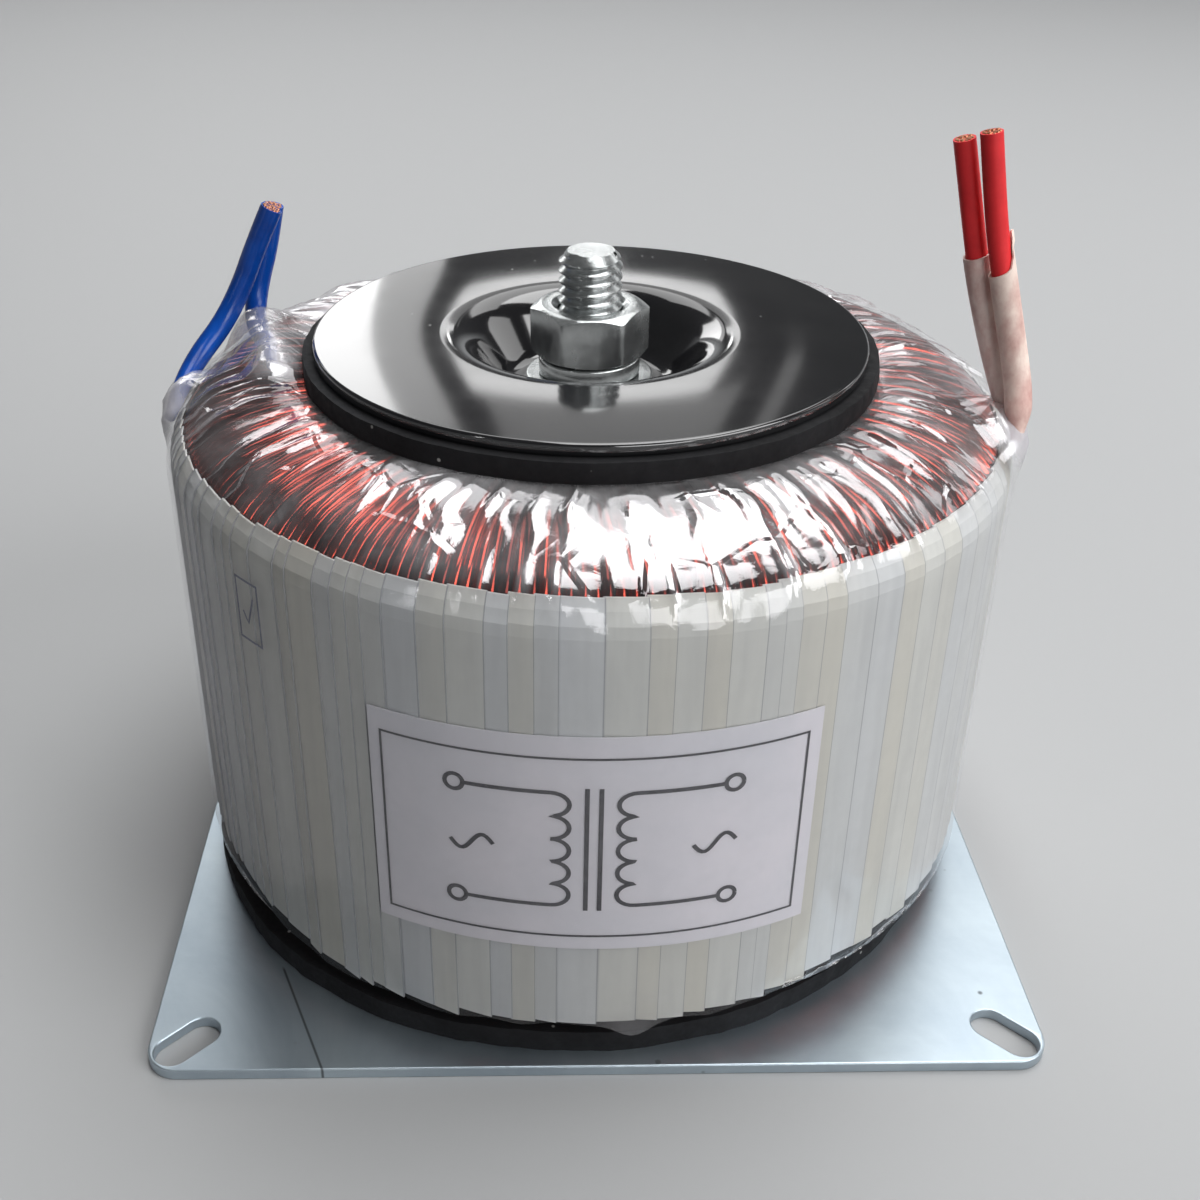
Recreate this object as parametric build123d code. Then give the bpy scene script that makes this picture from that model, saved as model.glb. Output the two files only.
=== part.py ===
from build123d import *

# Toroidal mains transformer clamped to a square steel plate by one M8 bolt.
# Millimetres, +Z up. The origin is the middle of the plate's underside, and the
# label on the winding looks towards -Y.

import os
from math import atan2, cos, pi, radians, sin, sqrt, tan

# Base plate, cut and pressed from zinc-plated sheet
plate_side = 107.0
plate_thickness = 1.5
plate_corner_radius = 4.0
slot_width = 4.5
slot_length = 8.5
slot_edge_distance = 4.5

# Pressed dishes: the plate's rises over the bolt's head, the top disc's sinks round the nut
dish_floor_radius = 10.5
dish_wall_run = 5.2
dish_bend_radius = 1.6
plate_dish_height = 7.5
disc_dish_depth = 7.2

# Top disc, pressed from black sheet steel
disc_radius = 34.2
disc_thickness = 1.5
disc_edge_round = 0.4

# Rubber pads
bottom_pad_radius = 51.4
bottom_pad_thickness = 3.0
bottom_pad_shift = -0.9
top_pad_radius = 35.8
top_pad_thickness = 2.5
pad_dish_clearance = 1.0

# Core, wound from steel strip
core_bore_radius = 29.3
core_build = 16.8
core_height = 41.2

# Outer winding: its shape over the tops of the wires
top_shoulder_width = 15.4
top_shoulder_drop = 8.5
bottom_shoulder_width = 5.5
bottom_shoulder_rise = 5.5
top_shoulder_facets = 3
turn_count = 240
turn_groove = 0.5

# Thickness of wire and film between the bore, the ends or the outside and what lies within
secondary_inner_build = 3.9
secondary_outer_build = 2.4
secondary_end_build = 6.5
film_thickness = 0.4
primary_inner_build = 4.0
primary_outer_build = 2.0
primary_end_build = 3.5
core_wrap_thickness = 0.8
layer_gap = 0.05

# Milky film band round the winding, laid as overlapping upright strips
band_bottom = 7.4
band_top_angle = 26.0
band_thickness = 0.3
band_step = 0.25
band_strip_count = 100
band_strip_unevenness = 0.28
band_gap = 0.1

# Paper label
label_width_angle = 54.4
label_middle_angle = -91.2
label_bottom = 19.4
label_height = 29.0
label_thickness = 0.15
label_gap = 0.05

# M8 fasteners
bolt_diameter = 8.0
bolt_length = 75.0
bolt_head_height = 5.3
hex_across_flats = 13.0
hex_sides = 6
hex_chamfer_angle = 30.0
bolt_end_chamfer = 0.9
bolt_hole_clearance = 0.2
thread_clearance = 0.05
flat_washer_radius = 8.0
flat_washer_thickness = 1.6
spring_washer_radius = 6.35
spring_washer_thickness = 2.5
spring_washer_bore_clearance = 0.1
spring_washer_gap = 1.4
spring_washer_cut_angle = 35.0
spring_washer_cut_at = 160.0
nut_height = 6.5

# Leads and the sleeves over the red ones
blue_lead_diameter = 2.8
red_lead_diameter = 2.5
sleeve_wall = 0.3
sleeve_clearance = 0.05
arc_share_of_run = 0.45

# What lies round the core on the bore side, on the outside and at each end
layer_gaps = 4 * layer_gap
inner_cover = core_wrap_thickness + primary_inner_build + film_thickness + secondary_inner_build + layer_gaps
outer_cover = core_wrap_thickness + primary_outer_build + film_thickness + secondary_outer_build + layer_gaps
end_cover = core_wrap_thickness + primary_end_build + film_thickness + secondary_end_build + layer_gaps

# Heights that follow from the stack
plate_top = plate_thickness
winding_bottom = plate_top + bottom_pad_thickness
winding_top = winding_bottom + core_height + 2 * end_cover
disc_underside = winding_top + top_pad_thickness
disc_top = disc_underside + disc_thickness
washer_seat = disc_top - disc_dish_depth
spring_washer_seat = washer_seat + flat_washer_thickness
nut_seat = spring_washer_seat + spring_washer_thickness

# Radii and spacings that follow
core_radius = core_bore_radius + core_build
bore_radius = core_bore_radius - inner_cover
winding_radius = core_radius + outer_cover
slot_spacing = plate_side - 2 * slot_edge_distance
bolt_radius = bolt_diameter / 2
bolt_hole_radius = bolt_radius + bolt_hole_clearance
dish_rim_radius = dish_floor_radius + dish_wall_run
pad_hole_radius = dish_rim_radius + dish_bend_radius + pad_dish_clearance

# Routes of the leads, from where they leave the winding to their cut ends
blue_front_route = [
    (-52.7, -5.6, 63.6),
    (-52.1, -0.7, 65.0),
    (-50.0, 4.3, 67.3),
    (-46.9, 8.1, 70.6),
    (-44.3, 9.7, 75.2),
    (-42.2, 9.9, 80.1),
    (-39.8, 10.1, 84.9),
]
blue_rear_route = [
    (-38.9, -5.0, 69.9),
    (-39.9, 0.4, 69.7),
    (-41.8, 6.3, 69.3),
    (-43.6, 11.4, 69.8),
    (-43.0, 13.6, 74.0),
    (-41.2, 13.3, 79.3),
    (-40.1, 13.1, 84.4),
]
red_left_route = [
    (50.1, -14.1, 65.2),
    (48.7, -12.2, 69.0),
    (46.6, -11.1, 75.0),
    (44.2, -11.0, 82.2),
    (42.4, -11.1, 89.0),
    (41.2, -11.0, 94.0),
    (40.1, -11.1, 98.3),
]
red_right_route = [
    (49.2, -17.9, 65.2),
    (49.5, -15.7, 69.4),
    (48.5, -14.2, 74.4),
    (46.7, -13.8, 80.8),
    (44.7, -13.6, 87.8),
    (43.3, -13.7, 94.0),
    (42.2, -13.6, 99.6),
]
sleeve_run_count = 4


def tube(radius, bore, low, high):
    """A plain ring round the Z axis between two heights."""
    return Pos(0, 0, low) * extrude(Circle(radius) - Circle(bore), high - low)


def pressed_sheet(thickness, outer_radius, floor_height, rim_height, edge_round=0.0):
    """A round sheet with a dish in its middle. Heights are those of its upper face."""
    rise = rim_height - floor_height
    slope = atan2(rise, dish_wall_run)
    shift = thickness * tan(slope / 2)
    upper = [
        (bolt_hole_radius, floor_height),
        (dish_floor_radius, floor_height),
        (dish_rim_radius, rim_height),
        (outer_radius, rim_height),
    ]
    lower = [
        (outer_radius, rim_height - thickness),
        (dish_rim_radius + shift, rim_height - thickness),
        (dish_floor_radius + shift, floor_height - thickness),
        (bolt_hole_radius, floor_height - thickness),
    ]
    tight, wide = dish_bend_radius, dish_bend_radius + thickness
    bends = (tight, wide, edge_round, 0, tight, wide) if rise > 0 else (wide, tight, edge_round, 0, wide, tight)
    outline = FilletPolyline(*upper, *lower, radius=[0, *bends, 0], close=True)
    return revolve(Plane.XZ * make_face(outline), Axis.Z)


def base_plate():
    """Square plate with four slots towards its middle and a dish for the bolt's head."""
    sheet = extrude(RectangleRounded(plate_side, plate_side, plate_corner_radius), plate_thickness)
    dish_outer = dish_rim_radius + 2 * dish_bend_radius + 2 * plate_thickness
    sheet -= Cylinder(dish_outer, 4 * plate_thickness)
    dish = pressed_sheet(plate_thickness, dish_outer, plate_top + plate_dish_height, plate_top)
    plate = sheet + dish
    reach = slot_spacing / sqrt(2)
    for quarter in range(4):
        slot = Rot(0, 0, 45 + 90 * quarter) * Pos(reach, 0) * SlotOverall(slot_length, slot_width)
        plate -= extrude(slot, 2 * plate_thickness, both=True)
    return plate


def shoulder(angle):
    """Height and radius of the winding's round top shoulder at an angle above its springing line."""
    height = winding_top - top_shoulder_drop * (1 - sin(angle))
    return height, winding_radius - top_shoulder_width * (1 - cos(angle))


def winding_levels():
    """Heights and radii of the winding's corners, lowest first, over the crests of the wires."""
    foot = (winding_bottom, winding_radius - bottom_shoulder_width)
    low = (winding_bottom + bottom_shoulder_rise, winding_radius)
    facet = pi / 2 / top_shoulder_facets
    return [foot, low] + [shoulder(step * facet) for step in range(top_shoulder_facets + 1)]


def turned_outline(height, crest):
    """A closed outline with one crest for each turn of wire."""
    pitch = 2 * pi / turn_count
    valley = crest * (1 - turn_groove / winding_radius)
    points = []
    for turn in range(turn_count):
        points.append(Vector(crest * cos(turn * pitch), crest * sin(turn * pitch), height))
        between = (turn + 0.5) * pitch
        points.append(Vector(valley * cos(between), valley * sin(between), height))
    return Wire.make_polygon(points, close=True)


def around(layer, inner, outer, ends):
    """The ring that covers another one on its bore side, on its outside and at its ends."""
    bore, radius, low, high = layer
    return bore - inner, radius + outer, low - ends, high + ends


# Bore radius, outside radius, bottom and top of each inner layer's two faces, from the core outwards
core_outside = (core_bore_radius, core_radius, winding_bottom + end_cover, winding_top - end_cover)
wrap_inside = around(core_outside, layer_gap, layer_gap, layer_gap)
wrap_outside = around(wrap_inside, core_wrap_thickness, core_wrap_thickness, core_wrap_thickness)
primary_inside = around(wrap_outside, layer_gap, layer_gap, layer_gap)
primary_outside = around(primary_inside, primary_inner_build, primary_outer_build, primary_end_build)
film_inside = around(primary_outside, layer_gap, layer_gap, layer_gap)
film_outside = around(film_inside, film_thickness, film_thickness, film_thickness)
secondary_hollow = around(film_outside, layer_gap, layer_gap, layer_gap)


def layer_solid(layer):
    """The solid ring of a layer's outside."""
    bore, radius, low, high = layer
    return tube(radius, bore, low, high)


def secondary_winding():
    """The outer winding, one crest for each turn, hollow for what it is wound over."""
    outlines = [turned_outline(*level) for level in winding_levels()]
    winding = Part(Solid.make_loft(outlines, ruled=True).wrapped)
    winding -= Pos(0, 0, (winding_bottom + winding_top) / 2) * Cylinder(bore_radius, 2 * winding_top)
    return winding - layer_solid(secondary_hollow)


def band_strip_angles():
    """Angles at which the band's strips begin, unevenly spaced as they were laid."""
    pitch = 360 / band_strip_count
    return [pitch * (strip + band_strip_unevenness * sin(2.4 * strip)) for strip in range(band_strip_count)]


def band_outline(height, inner_radius):
    """Outside of the band at a height: each strip rises over the next one's edge."""
    thin = inner_radius + band_thickness
    thick = thin + band_step
    points = []
    for start in band_strip_angles():
        for radius in (thin, thick):
            points.append(Vector(radius * cos(radians(start)), radius * sin(radians(start)), height))
    return Wire.make_polygon(points, close=True)


def band_levels():
    """Heights and inner radii of the band: its lower edge, the two ends of its upright wall, its upper edge."""
    spring, wall = shoulder(0)
    high, lip = shoulder(radians(band_top_angle))
    return [(band_bottom, wall + band_gap), (spring, wall + band_gap), (high, lip + band_gap)]


def side_band():
    """Band of film strips round the winding, drawn in over the shoulder at its top."""
    levels = band_levels()
    outside = Part(Solid.make_loft([band_outline(*level) for level in levels], ruled=True).wrapped)
    (low, wall), (spring, _), (high, lip) = levels
    hollow = Polyline((0, low), (wall, low), (wall, spring), (lip, high), (0, high), close=True)
    return outside - revolve(Plane.XZ * make_face(hollow), Axis.Z)


def label():
    """Paper label laid round the band."""
    inner = winding_radius + band_gap + band_thickness + band_step + label_gap
    ring = tube(inner + label_thickness, inner, label_bottom, label_bottom + label_height)
    reach = 2 * winding_radius
    half = radians(label_width_angle / 2)
    wedge = Polyline((0, 0), (reach, -reach * tan(half)), (reach, reach * tan(half)), close=True)
    cutter = Rot(0, 0, label_middle_angle) * extrude(make_face(wedge), winding_top)
    return ring & cutter


def top_disc():
    """Black pressed disc that clamps the winding."""
    return pressed_sheet(disc_thickness, disc_radius, washer_seat, disc_top, disc_edge_round)


def bottom_pad():
    """Rubber pad under the winding, laid a little off centre."""
    outline = Pos(bottom_pad_shift, 0) * Circle(bottom_pad_radius) - Circle(pad_hole_radius)
    return Pos(0, 0, plate_top) * extrude(outline, bottom_pad_thickness)


def top_pad():
    """Rubber pad between the winding and the top disc."""
    return tube(top_pad_radius, pad_hole_radius, winding_top, disc_underside)


def hexagon(height, top_chamfer):
    """A hexagon bar with its corners turned down at the bottom, and at the top too if asked."""
    flat = hex_across_flats / 2
    corner = flat / cos(pi / hex_sides)
    drop = (corner - flat) * tan(radians(hex_chamfer_angle))
    turned = [(0, 0), (flat, 0), (corner, drop)]
    turned += [(corner, height - drop), (flat, height)] if top_chamfer else [(corner, height)]
    envelope = revolve(Plane.XZ * make_face(Polyline(*turned, (0, height), close=True)), Axis.Z)
    return extrude(RegularPolygon(corner, hex_sides), height) & envelope


def centre_bolt():
    """Hexagon bolt, head down in the plate's dish."""
    seat = plate_dish_height
    head = Pos(0, 0, seat - bolt_head_height) * hexagon(bolt_head_height, top_chamfer=False)
    end = seat + bolt_length
    shank = [
        (0, seat),
        (bolt_radius, seat),
        (bolt_radius, end - bolt_end_chamfer),
        (bolt_radius - bolt_end_chamfer, end),
        (0, end),
    ]
    return head + revolve(Plane.XZ * make_face(Polyline(*shank, close=True)), Axis.Z)


def flat_washer():
    """Plain washer on the floor of the top disc's dish."""
    return tube(flat_washer_radius, bolt_hole_radius, washer_seat, spring_washer_seat)


def spring_washer():
    """Split spring washer, pressed flat, with its slanting cut."""
    ring = tube(spring_washer_radius, bolt_radius + spring_washer_bore_clearance, spring_washer_seat, nut_seat)
    middle = Pos(0, -spring_washer_radius, (spring_washer_seat + nut_seat) / 2)
    cut = middle * Rot(0, spring_washer_cut_angle, 0) * Box(
        spring_washer_gap, 2 * spring_washer_radius, 4 * spring_washer_thickness
    )
    return ring - Rot(0, 0, spring_washer_cut_at) * cut


def hex_nut():
    """Nut, chamfered at both ends, one flat towards the label."""
    bar = hexagon(nut_height, top_chamfer=True)
    bore = Cylinder(bolt_radius + thread_clearance, 4 * nut_height)
    return Pos(0, 0, nut_seat) * (bar - bore)


def arc_radii(route):
    """Radius of the arc at each inner point of a route: as large as its two runs allow."""
    radii = []
    for before, here, after in zip(route, route[1:], route[2:]):
        into, out = Vector(*here) - Vector(*before), Vector(*after) - Vector(*here)
        shorter = min(into.length, out.length)
        radii.append(arc_share_of_run * shorter / tan(radians(into.get_angle(out)) / 2))
    return radii


def lead_path(route):
    """The route's straight runs joined by tangent arcs."""
    return FilletPolyline(*route, radius=arc_radii(route))


def sleeve_path(route):
    """The lead's path up to the middle of one run, where it is straight."""
    end = (Vector(*route[sleeve_run_count - 1]) + Vector(*route[sleeve_run_count])) / 2
    return FilletPolyline(*route[:sleeve_run_count], end, radius=arc_radii(route)[: sleeve_run_count - 1])


def swept(section, path):
    """A section carried along a path, square to it at its start."""
    return sweep(Plane(origin=path @ 0, z_dir=path % 0) * section, path=path)


def lead(route, diameter):
    """One insulated lead."""
    return swept(Circle(diameter / 2), lead_path(route))


def sleeve(route, diameter):
    """Sleeve over the lower part of a lead."""
    inner = diameter / 2 + sleeve_clearance
    return swept(Circle(inner + sleeve_wall) - Circle(inner), sleeve_path(route))


parts = {
    "base_plate": base_plate(),
    "bottom_pad": bottom_pad(),
    "core": layer_solid(core_outside),
    "core_wrap": layer_solid(wrap_outside) - layer_solid(wrap_inside),
    "primary_winding": layer_solid(primary_outside) - layer_solid(primary_inside),
    "interwinding_film": layer_solid(film_outside) - layer_solid(film_inside),
    "secondary_winding": secondary_winding(),
    "side_band": side_band(),
    "label": label(),
    "top_pad": top_pad(),
    "top_disc": top_disc(),
    "centre_bolt": centre_bolt(),
    "flat_washer": flat_washer(),
    "spring_washer": spring_washer(),
    "hex_nut": hex_nut(),
    "blue_lead_front": lead(blue_front_route, blue_lead_diameter),
    "blue_lead_rear": lead(blue_rear_route, blue_lead_diameter),
    "red_lead_left": lead(red_left_route, red_lead_diameter),
    "red_lead_right": lead(red_right_route, red_lead_diameter),
    "red_sleeve_left": sleeve(red_left_route, red_lead_diameter),
    "red_sleeve_right": sleeve(red_right_route, red_lead_diameter),
}

for name, route, diameter in (
    ("blue_lead_front", blue_front_route, blue_lead_diameter),
    ("blue_lead_rear", blue_rear_route, blue_lead_diameter),
    ("red_lead_left", red_left_route, red_lead_diameter),
    ("red_lead_right", red_right_route, red_lead_diameter),
):
    length = lead_path(route).length
    section = pi * diameter**2 / 4
    radii = ", ".join(f"{radius:.1f}" for radius in arc_radii(route))
    print(f"{name}: length {length:.1f}, section x length {section * length:.1f}")
    print(f"  volume {parts[name].volume:.1f}, arc radii {radii}")

os.makedirs("parts", exist_ok=True)
for name, shape in parts.items():
    export_step(shape, f"parts/{name}.step")
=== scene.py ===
"""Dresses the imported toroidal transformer: windings, films, clamp, plate and leads, each in its own finish.

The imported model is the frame. Sizes are in millimetres where a field or argument says so by its place in an
outline or route, and every mesh is written in metres in the frame of the model, +Z up, the label towards -Y.
"""

from __future__ import annotations

import logging
import math
from collections.abc import Callable, Iterator, Sequence
from contextlib import contextmanager
from dataclasses import dataclass, field
from enum import Enum

import bpy
import numpy as np
from mathutils import Matrix, Vector


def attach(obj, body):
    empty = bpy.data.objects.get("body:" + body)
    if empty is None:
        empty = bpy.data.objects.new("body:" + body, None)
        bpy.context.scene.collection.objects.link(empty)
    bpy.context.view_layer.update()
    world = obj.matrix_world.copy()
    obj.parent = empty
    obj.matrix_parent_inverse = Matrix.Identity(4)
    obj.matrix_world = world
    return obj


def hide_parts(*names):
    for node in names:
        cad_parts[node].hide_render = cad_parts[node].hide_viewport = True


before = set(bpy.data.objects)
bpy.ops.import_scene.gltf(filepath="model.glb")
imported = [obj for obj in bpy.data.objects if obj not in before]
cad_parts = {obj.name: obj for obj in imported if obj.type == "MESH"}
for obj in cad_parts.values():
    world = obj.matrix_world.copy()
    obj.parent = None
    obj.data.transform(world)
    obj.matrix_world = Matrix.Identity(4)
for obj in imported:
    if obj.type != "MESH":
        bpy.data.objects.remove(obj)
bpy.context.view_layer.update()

LOG = logging.getLogger("transformer")
MM = 0.001
TURN = 2 * math.pi
MERGED = 2e-6
Outline = Sequence[tuple[float, float]]
Route = Sequence[tuple[float, float, float]]
Colour = tuple[float, float, float]


# Working with meshes


def use(piece: bpy.types.Object) -> None:
    """Selects one object alone and makes it the active one."""
    bpy.ops.object.select_all(action="DESELECT")
    piece.select_set(True)
    bpy.context.view_layer.objects.active = piece


@contextmanager
def editing(piece: bpy.types.Object) -> Iterator[None]:
    """Opens a piece in edit mode with all of it selected, and closes it again."""
    use(piece)
    bpy.ops.object.mode_set(mode="EDIT")
    bpy.ops.mesh.select_mode(type="VERT")
    bpy.ops.mesh.select_all(action="SELECT")
    yield
    bpy.ops.object.mode_set(mode="OBJECT")


def settle(piece: bpy.types.Object) -> None:
    """Writes a piece's place, turn and scale into its mesh."""
    use(piece)
    bpy.ops.object.transform_apply(location=True, rotation=True, scale=True)


def smoothed(piece: bpy.types.Object, degrees: float) -> bpy.types.Object:
    """Shades a piece smooth wherever its faces meet at less than an angle."""
    use(piece)
    bpy.ops.object.shade_smooth_by_angle(angle=math.radians(degrees))
    return piece


def merge_and_turn_out() -> None:
    """Merges the doubled vertices of the piece in edit mode and turns its faces outwards."""
    bpy.ops.mesh.select_all(action="SELECT")
    bpy.ops.mesh.remove_doubles(threshold=MERGED)
    bpy.ops.mesh.normals_make_consistent(inside=False)


def added(operator: Callable[..., set[str]], name: str, **settings: object) -> bpy.types.Object:
    """Adds one plain shape and nothing else.

    Args:
        operator: the operator that makes it.
        name: name of the new piece.
        **settings: the operator's own arguments.

    Returns:
        The new piece, selected and active.
    """
    bpy.ops.object.select_all(action="DESELECT")
    operator(**settings)
    piece = bpy.context.object
    piece.name = name
    return piece


def linked(name: str, data: bpy.types.ID) -> bpy.types.Object:
    """A new object for a curve, lamp or camera, in the scene."""
    piece = bpy.data.objects.new(name, data)
    bpy.context.scene.collection.objects.link(piece)
    return piece


def points_of(piece: bpy.types.Object) -> np.ndarray:
    """The piece's vertices as rows of x, y and z."""
    flat = np.empty(len(piece.data.vertices) * 3)
    piece.data.vertices.foreach_get("co", flat)
    return flat.reshape(-1, 3)


def put_points(piece: bpy.types.Object, points: np.ndarray) -> None:
    """Moves the piece's vertices to new places."""
    piece.data.vertices.foreach_set("co", points.ravel())
    piece.data.update()


def bearing(points: np.ndarray) -> np.ndarray:
    """Angle of each point round the Z axis, in radians."""
    return np.arctan2(points[:, 1], points[:, 0])


def off_axis(points: np.ndarray) -> np.ndarray:
    """Distance of each point from the Z axis."""
    return np.hypot(points[:, 0], points[:, 1])


def round_places(radius: np.ndarray, angle: np.ndarray, height: np.ndarray) -> np.ndarray:
    """Points in metres from their radius and height in millimetres and their angle in radians."""
    return np.column_stack([radius * np.cos(angle), radius * np.sin(angle), height]) * MM


def widened(points: np.ndarray, scale: np.ndarray) -> np.ndarray:
    """Points drawn in or out from the Z axis, each by its own scale."""
    return points * np.column_stack([scale, scale, np.ones(len(scale))])


def run_along(line: np.ndarray) -> np.ndarray:
    """Distance of each point of a line from the first one, along the line."""
    return np.concatenate([[0], np.cumsum(np.linalg.norm(np.diff(line, axis=0), axis=1))])


def drawn(name: str, outline: Outline, closed: bool = True) -> bpy.types.Object:
    """Draws a line of edges in the XZ plane, one extrusion after another.

    Args:
        name: name of the new piece.
        outline: radius and height of each point, in millimetres.
        closed: whether the last point joins the first.

    Returns:
        The new piece, edges only.
    """
    places = [Vector((radius * MM, 0, height * MM)) for radius, height in outline]
    piece = added(bpy.ops.mesh.primitive_plane_add, name, size=MM, location=places[0])
    settle(piece)
    with editing(piece):
        bpy.ops.mesh.merge(type="CENTER")
        for here, there in zip(places, places[1:] + places[: int(closed)]):
            bpy.ops.mesh.extrude_region_move(TRANSFORM_OT_translate={"value": there - here})
        bpy.ops.mesh.select_all(action="SELECT")
        bpy.ops.mesh.remove_doubles(threshold=1e-7)
    return piece


def spun(piece: bpy.types.Object, steps: int, smooth: float = 35.0) -> bpy.types.Object:
    """Spins a drawn outline once round the Z axis and closes it where its ends meet.

    Args:
        piece: the outline's edges.
        steps: how many steps make the full turn.
        smooth: angle in degrees below which neighbouring faces share a shade.

    Returns:
        The same piece, now a surface with its faces outwards.
    """
    with editing(piece):
        bpy.ops.mesh.spin(steps=steps, angle=TURN, center=(0, 0, 0), axis=(0, 0, 1))
        merge_and_turn_out()
    return smoothed(piece, smooth)


def lathed(name: str, outline: Outline, steps: int, smooth: float = 35.0) -> bpy.types.Object:
    """A closed outline turned into a round piece."""
    return spun(drawn(name, outline), steps, smooth)


def eased(outline: Outline, cuts: Sequence[float], parts: int = 3) -> list[tuple[float, float]]:
    """An outline with its corners eased by short curves.

    Args:
        outline: radius and height of each corner of a closed outline.
        cuts: how far from each corner its curve starts, 0 to keep the corner.
        parts: edges in each curve.

    Returns:
        The outline with the curves' points in place of the corners.
    """
    eased_outline = []
    count = len(outline)
    for index, cut in enumerate(cuts):
        here = Vector(outline[index])
        if cut == 0:
            eased_outline.append(tuple(here))
            continue
        before = (Vector(outline[index - 1]) - here).normalized() * cut
        after = (Vector(outline[(index + 1) % count]) - here).normalized() * cut
        for part in range(parts + 1):
            share = part / parts
            eased_outline.append(tuple(here + before * (1 - share) ** 2 + after * share**2))
    return eased_outline


def joined(name: str, pieces: Sequence[bpy.types.Object]) -> bpy.types.Object:
    """Joins several objects into one piece with its own name."""
    bpy.ops.object.select_all(action="DESELECT")
    for piece in pieces:
        piece.select_set(True)
    bpy.context.view_layer.objects.active = pieces[0]
    bpy.ops.object.join()
    pieces[0].name = name
    return pieces[0]


def copied(piece: bpy.types.Object, points: np.ndarray) -> bpy.types.Object:
    """A copy of a piece with a mesh of its own, its vertices at new places."""
    copy = piece.copy()
    copy.data = piece.data.copy()
    bpy.context.scene.collection.objects.link(copy)
    put_points(copy, points)
    return copy


def apply_modifier(piece: bpy.types.Object, kind: str, **settings: object) -> None:
    """Adds a modifier with its settings and applies it.

    Args:
        piece: the object to change.
        kind: the modifier's type.
        **settings: the modifier's properties and their values.
    """
    modifier = piece.modifiers.new(kind.title(), kind)
    for key, value in settings.items():
        setattr(modifier, key, value)
    use(piece)
    bpy.ops.object.modifier_apply(modifier=modifier.name)


def write_attribute(piece: bpy.types.Object, name: str, values: np.ndarray) -> None:
    """Stores one number for each vertex under a name that a finish can read."""
    attribute = piece.data.attributes.new(name, "FLOAT", "POINT")
    attribute.data.foreach_set("value", values.astype(np.float32))


def finish_piece(piece: bpy.types.Object, material: bpy.types.Material,
                 replaces: Sequence[str] = ()) -> bpy.types.Object:
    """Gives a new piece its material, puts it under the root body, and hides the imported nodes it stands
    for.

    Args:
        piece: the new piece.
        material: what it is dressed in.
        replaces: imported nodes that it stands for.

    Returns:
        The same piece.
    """
    piece.data.materials.clear()
    piece.data.materials.append(material)
    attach(piece, "root")
    if replaces:
        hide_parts(*replaces)
    LOG.info("made %s", piece.name)
    return piece


# Unevenness that is the same on each run


def lattice(seed: int, rows: int, columns: int) -> np.ndarray:
    """Random heights between -1 and 1 on a grid whose rows close on themselves."""
    return np.random.default_rng(seed).uniform(-1, 1, (rows, columns))


def creased(along: np.ndarray, across: np.ndarray, cells: tuple[int, int], seed: int) -> np.ndarray:
    """Height of a sheet creased into flat three-cornered facets.

    Args:
        along: place round the piece, 0 to 1, which closes on itself.
        across: place along the other way, 0 to 1.
        cells: facets round and across.
        seed: picks the pattern.

    Returns:
        Heights between -1 and 1.
    """
    rows, columns = cells
    heights = lattice(seed, rows, columns + 2)
    x, y = along * rows, np.clip(across, 0, 1) * columns
    row, column = np.floor(x).astype(int), np.floor(y).astype(int)
    fx, fy = x - row, y - column
    low, high = row % rows, (row + 1) % rows
    h00, h10 = heights[low, column], heights[high, column]
    h01, h11 = heights[low, column + 1], heights[high, column + 1]
    lower = h00 + (h10 - h00) * fx + (h11 - h10) * fy
    upper = h00 + (h01 - h00) * fy + (h11 - h01) * fx
    return np.where(fx > fy, lower, upper)


def rolling(along: np.ndarray, across: np.ndarray, cells: tuple[int, int], seed: int) -> np.ndarray:
    """Height of a gently rolling sheet, with the same arguments as creased."""
    rows, columns = cells
    heights = lattice(seed, rows, columns + 2)
    x, y = along * rows, np.clip(across, 0, 1) * columns
    row, column = np.floor(x).astype(int), np.floor(y).astype(int)
    fx, fy = x - row, y - column
    fx, fy = fx * fx * (3 - 2 * fx), fy * fy * (3 - 2 * fy)
    low, high = row % rows, (row + 1) % rows
    near = heights[low, column] * (1 - fx) + heights[high, column] * fx
    far = heights[low, column + 1] * (1 - fx) + heights[high, column + 1] * fx
    return near * (1 - fy) + far * fy


def ramped(values: np.ndarray, low: float, high: float) -> np.ndarray:
    """Eases values from 0 at one end to 1 at the other."""
    share = np.clip((values - low) / (high - low), 0, 1)
    return share * share * (3 - 2 * share)


# Finishes


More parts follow.
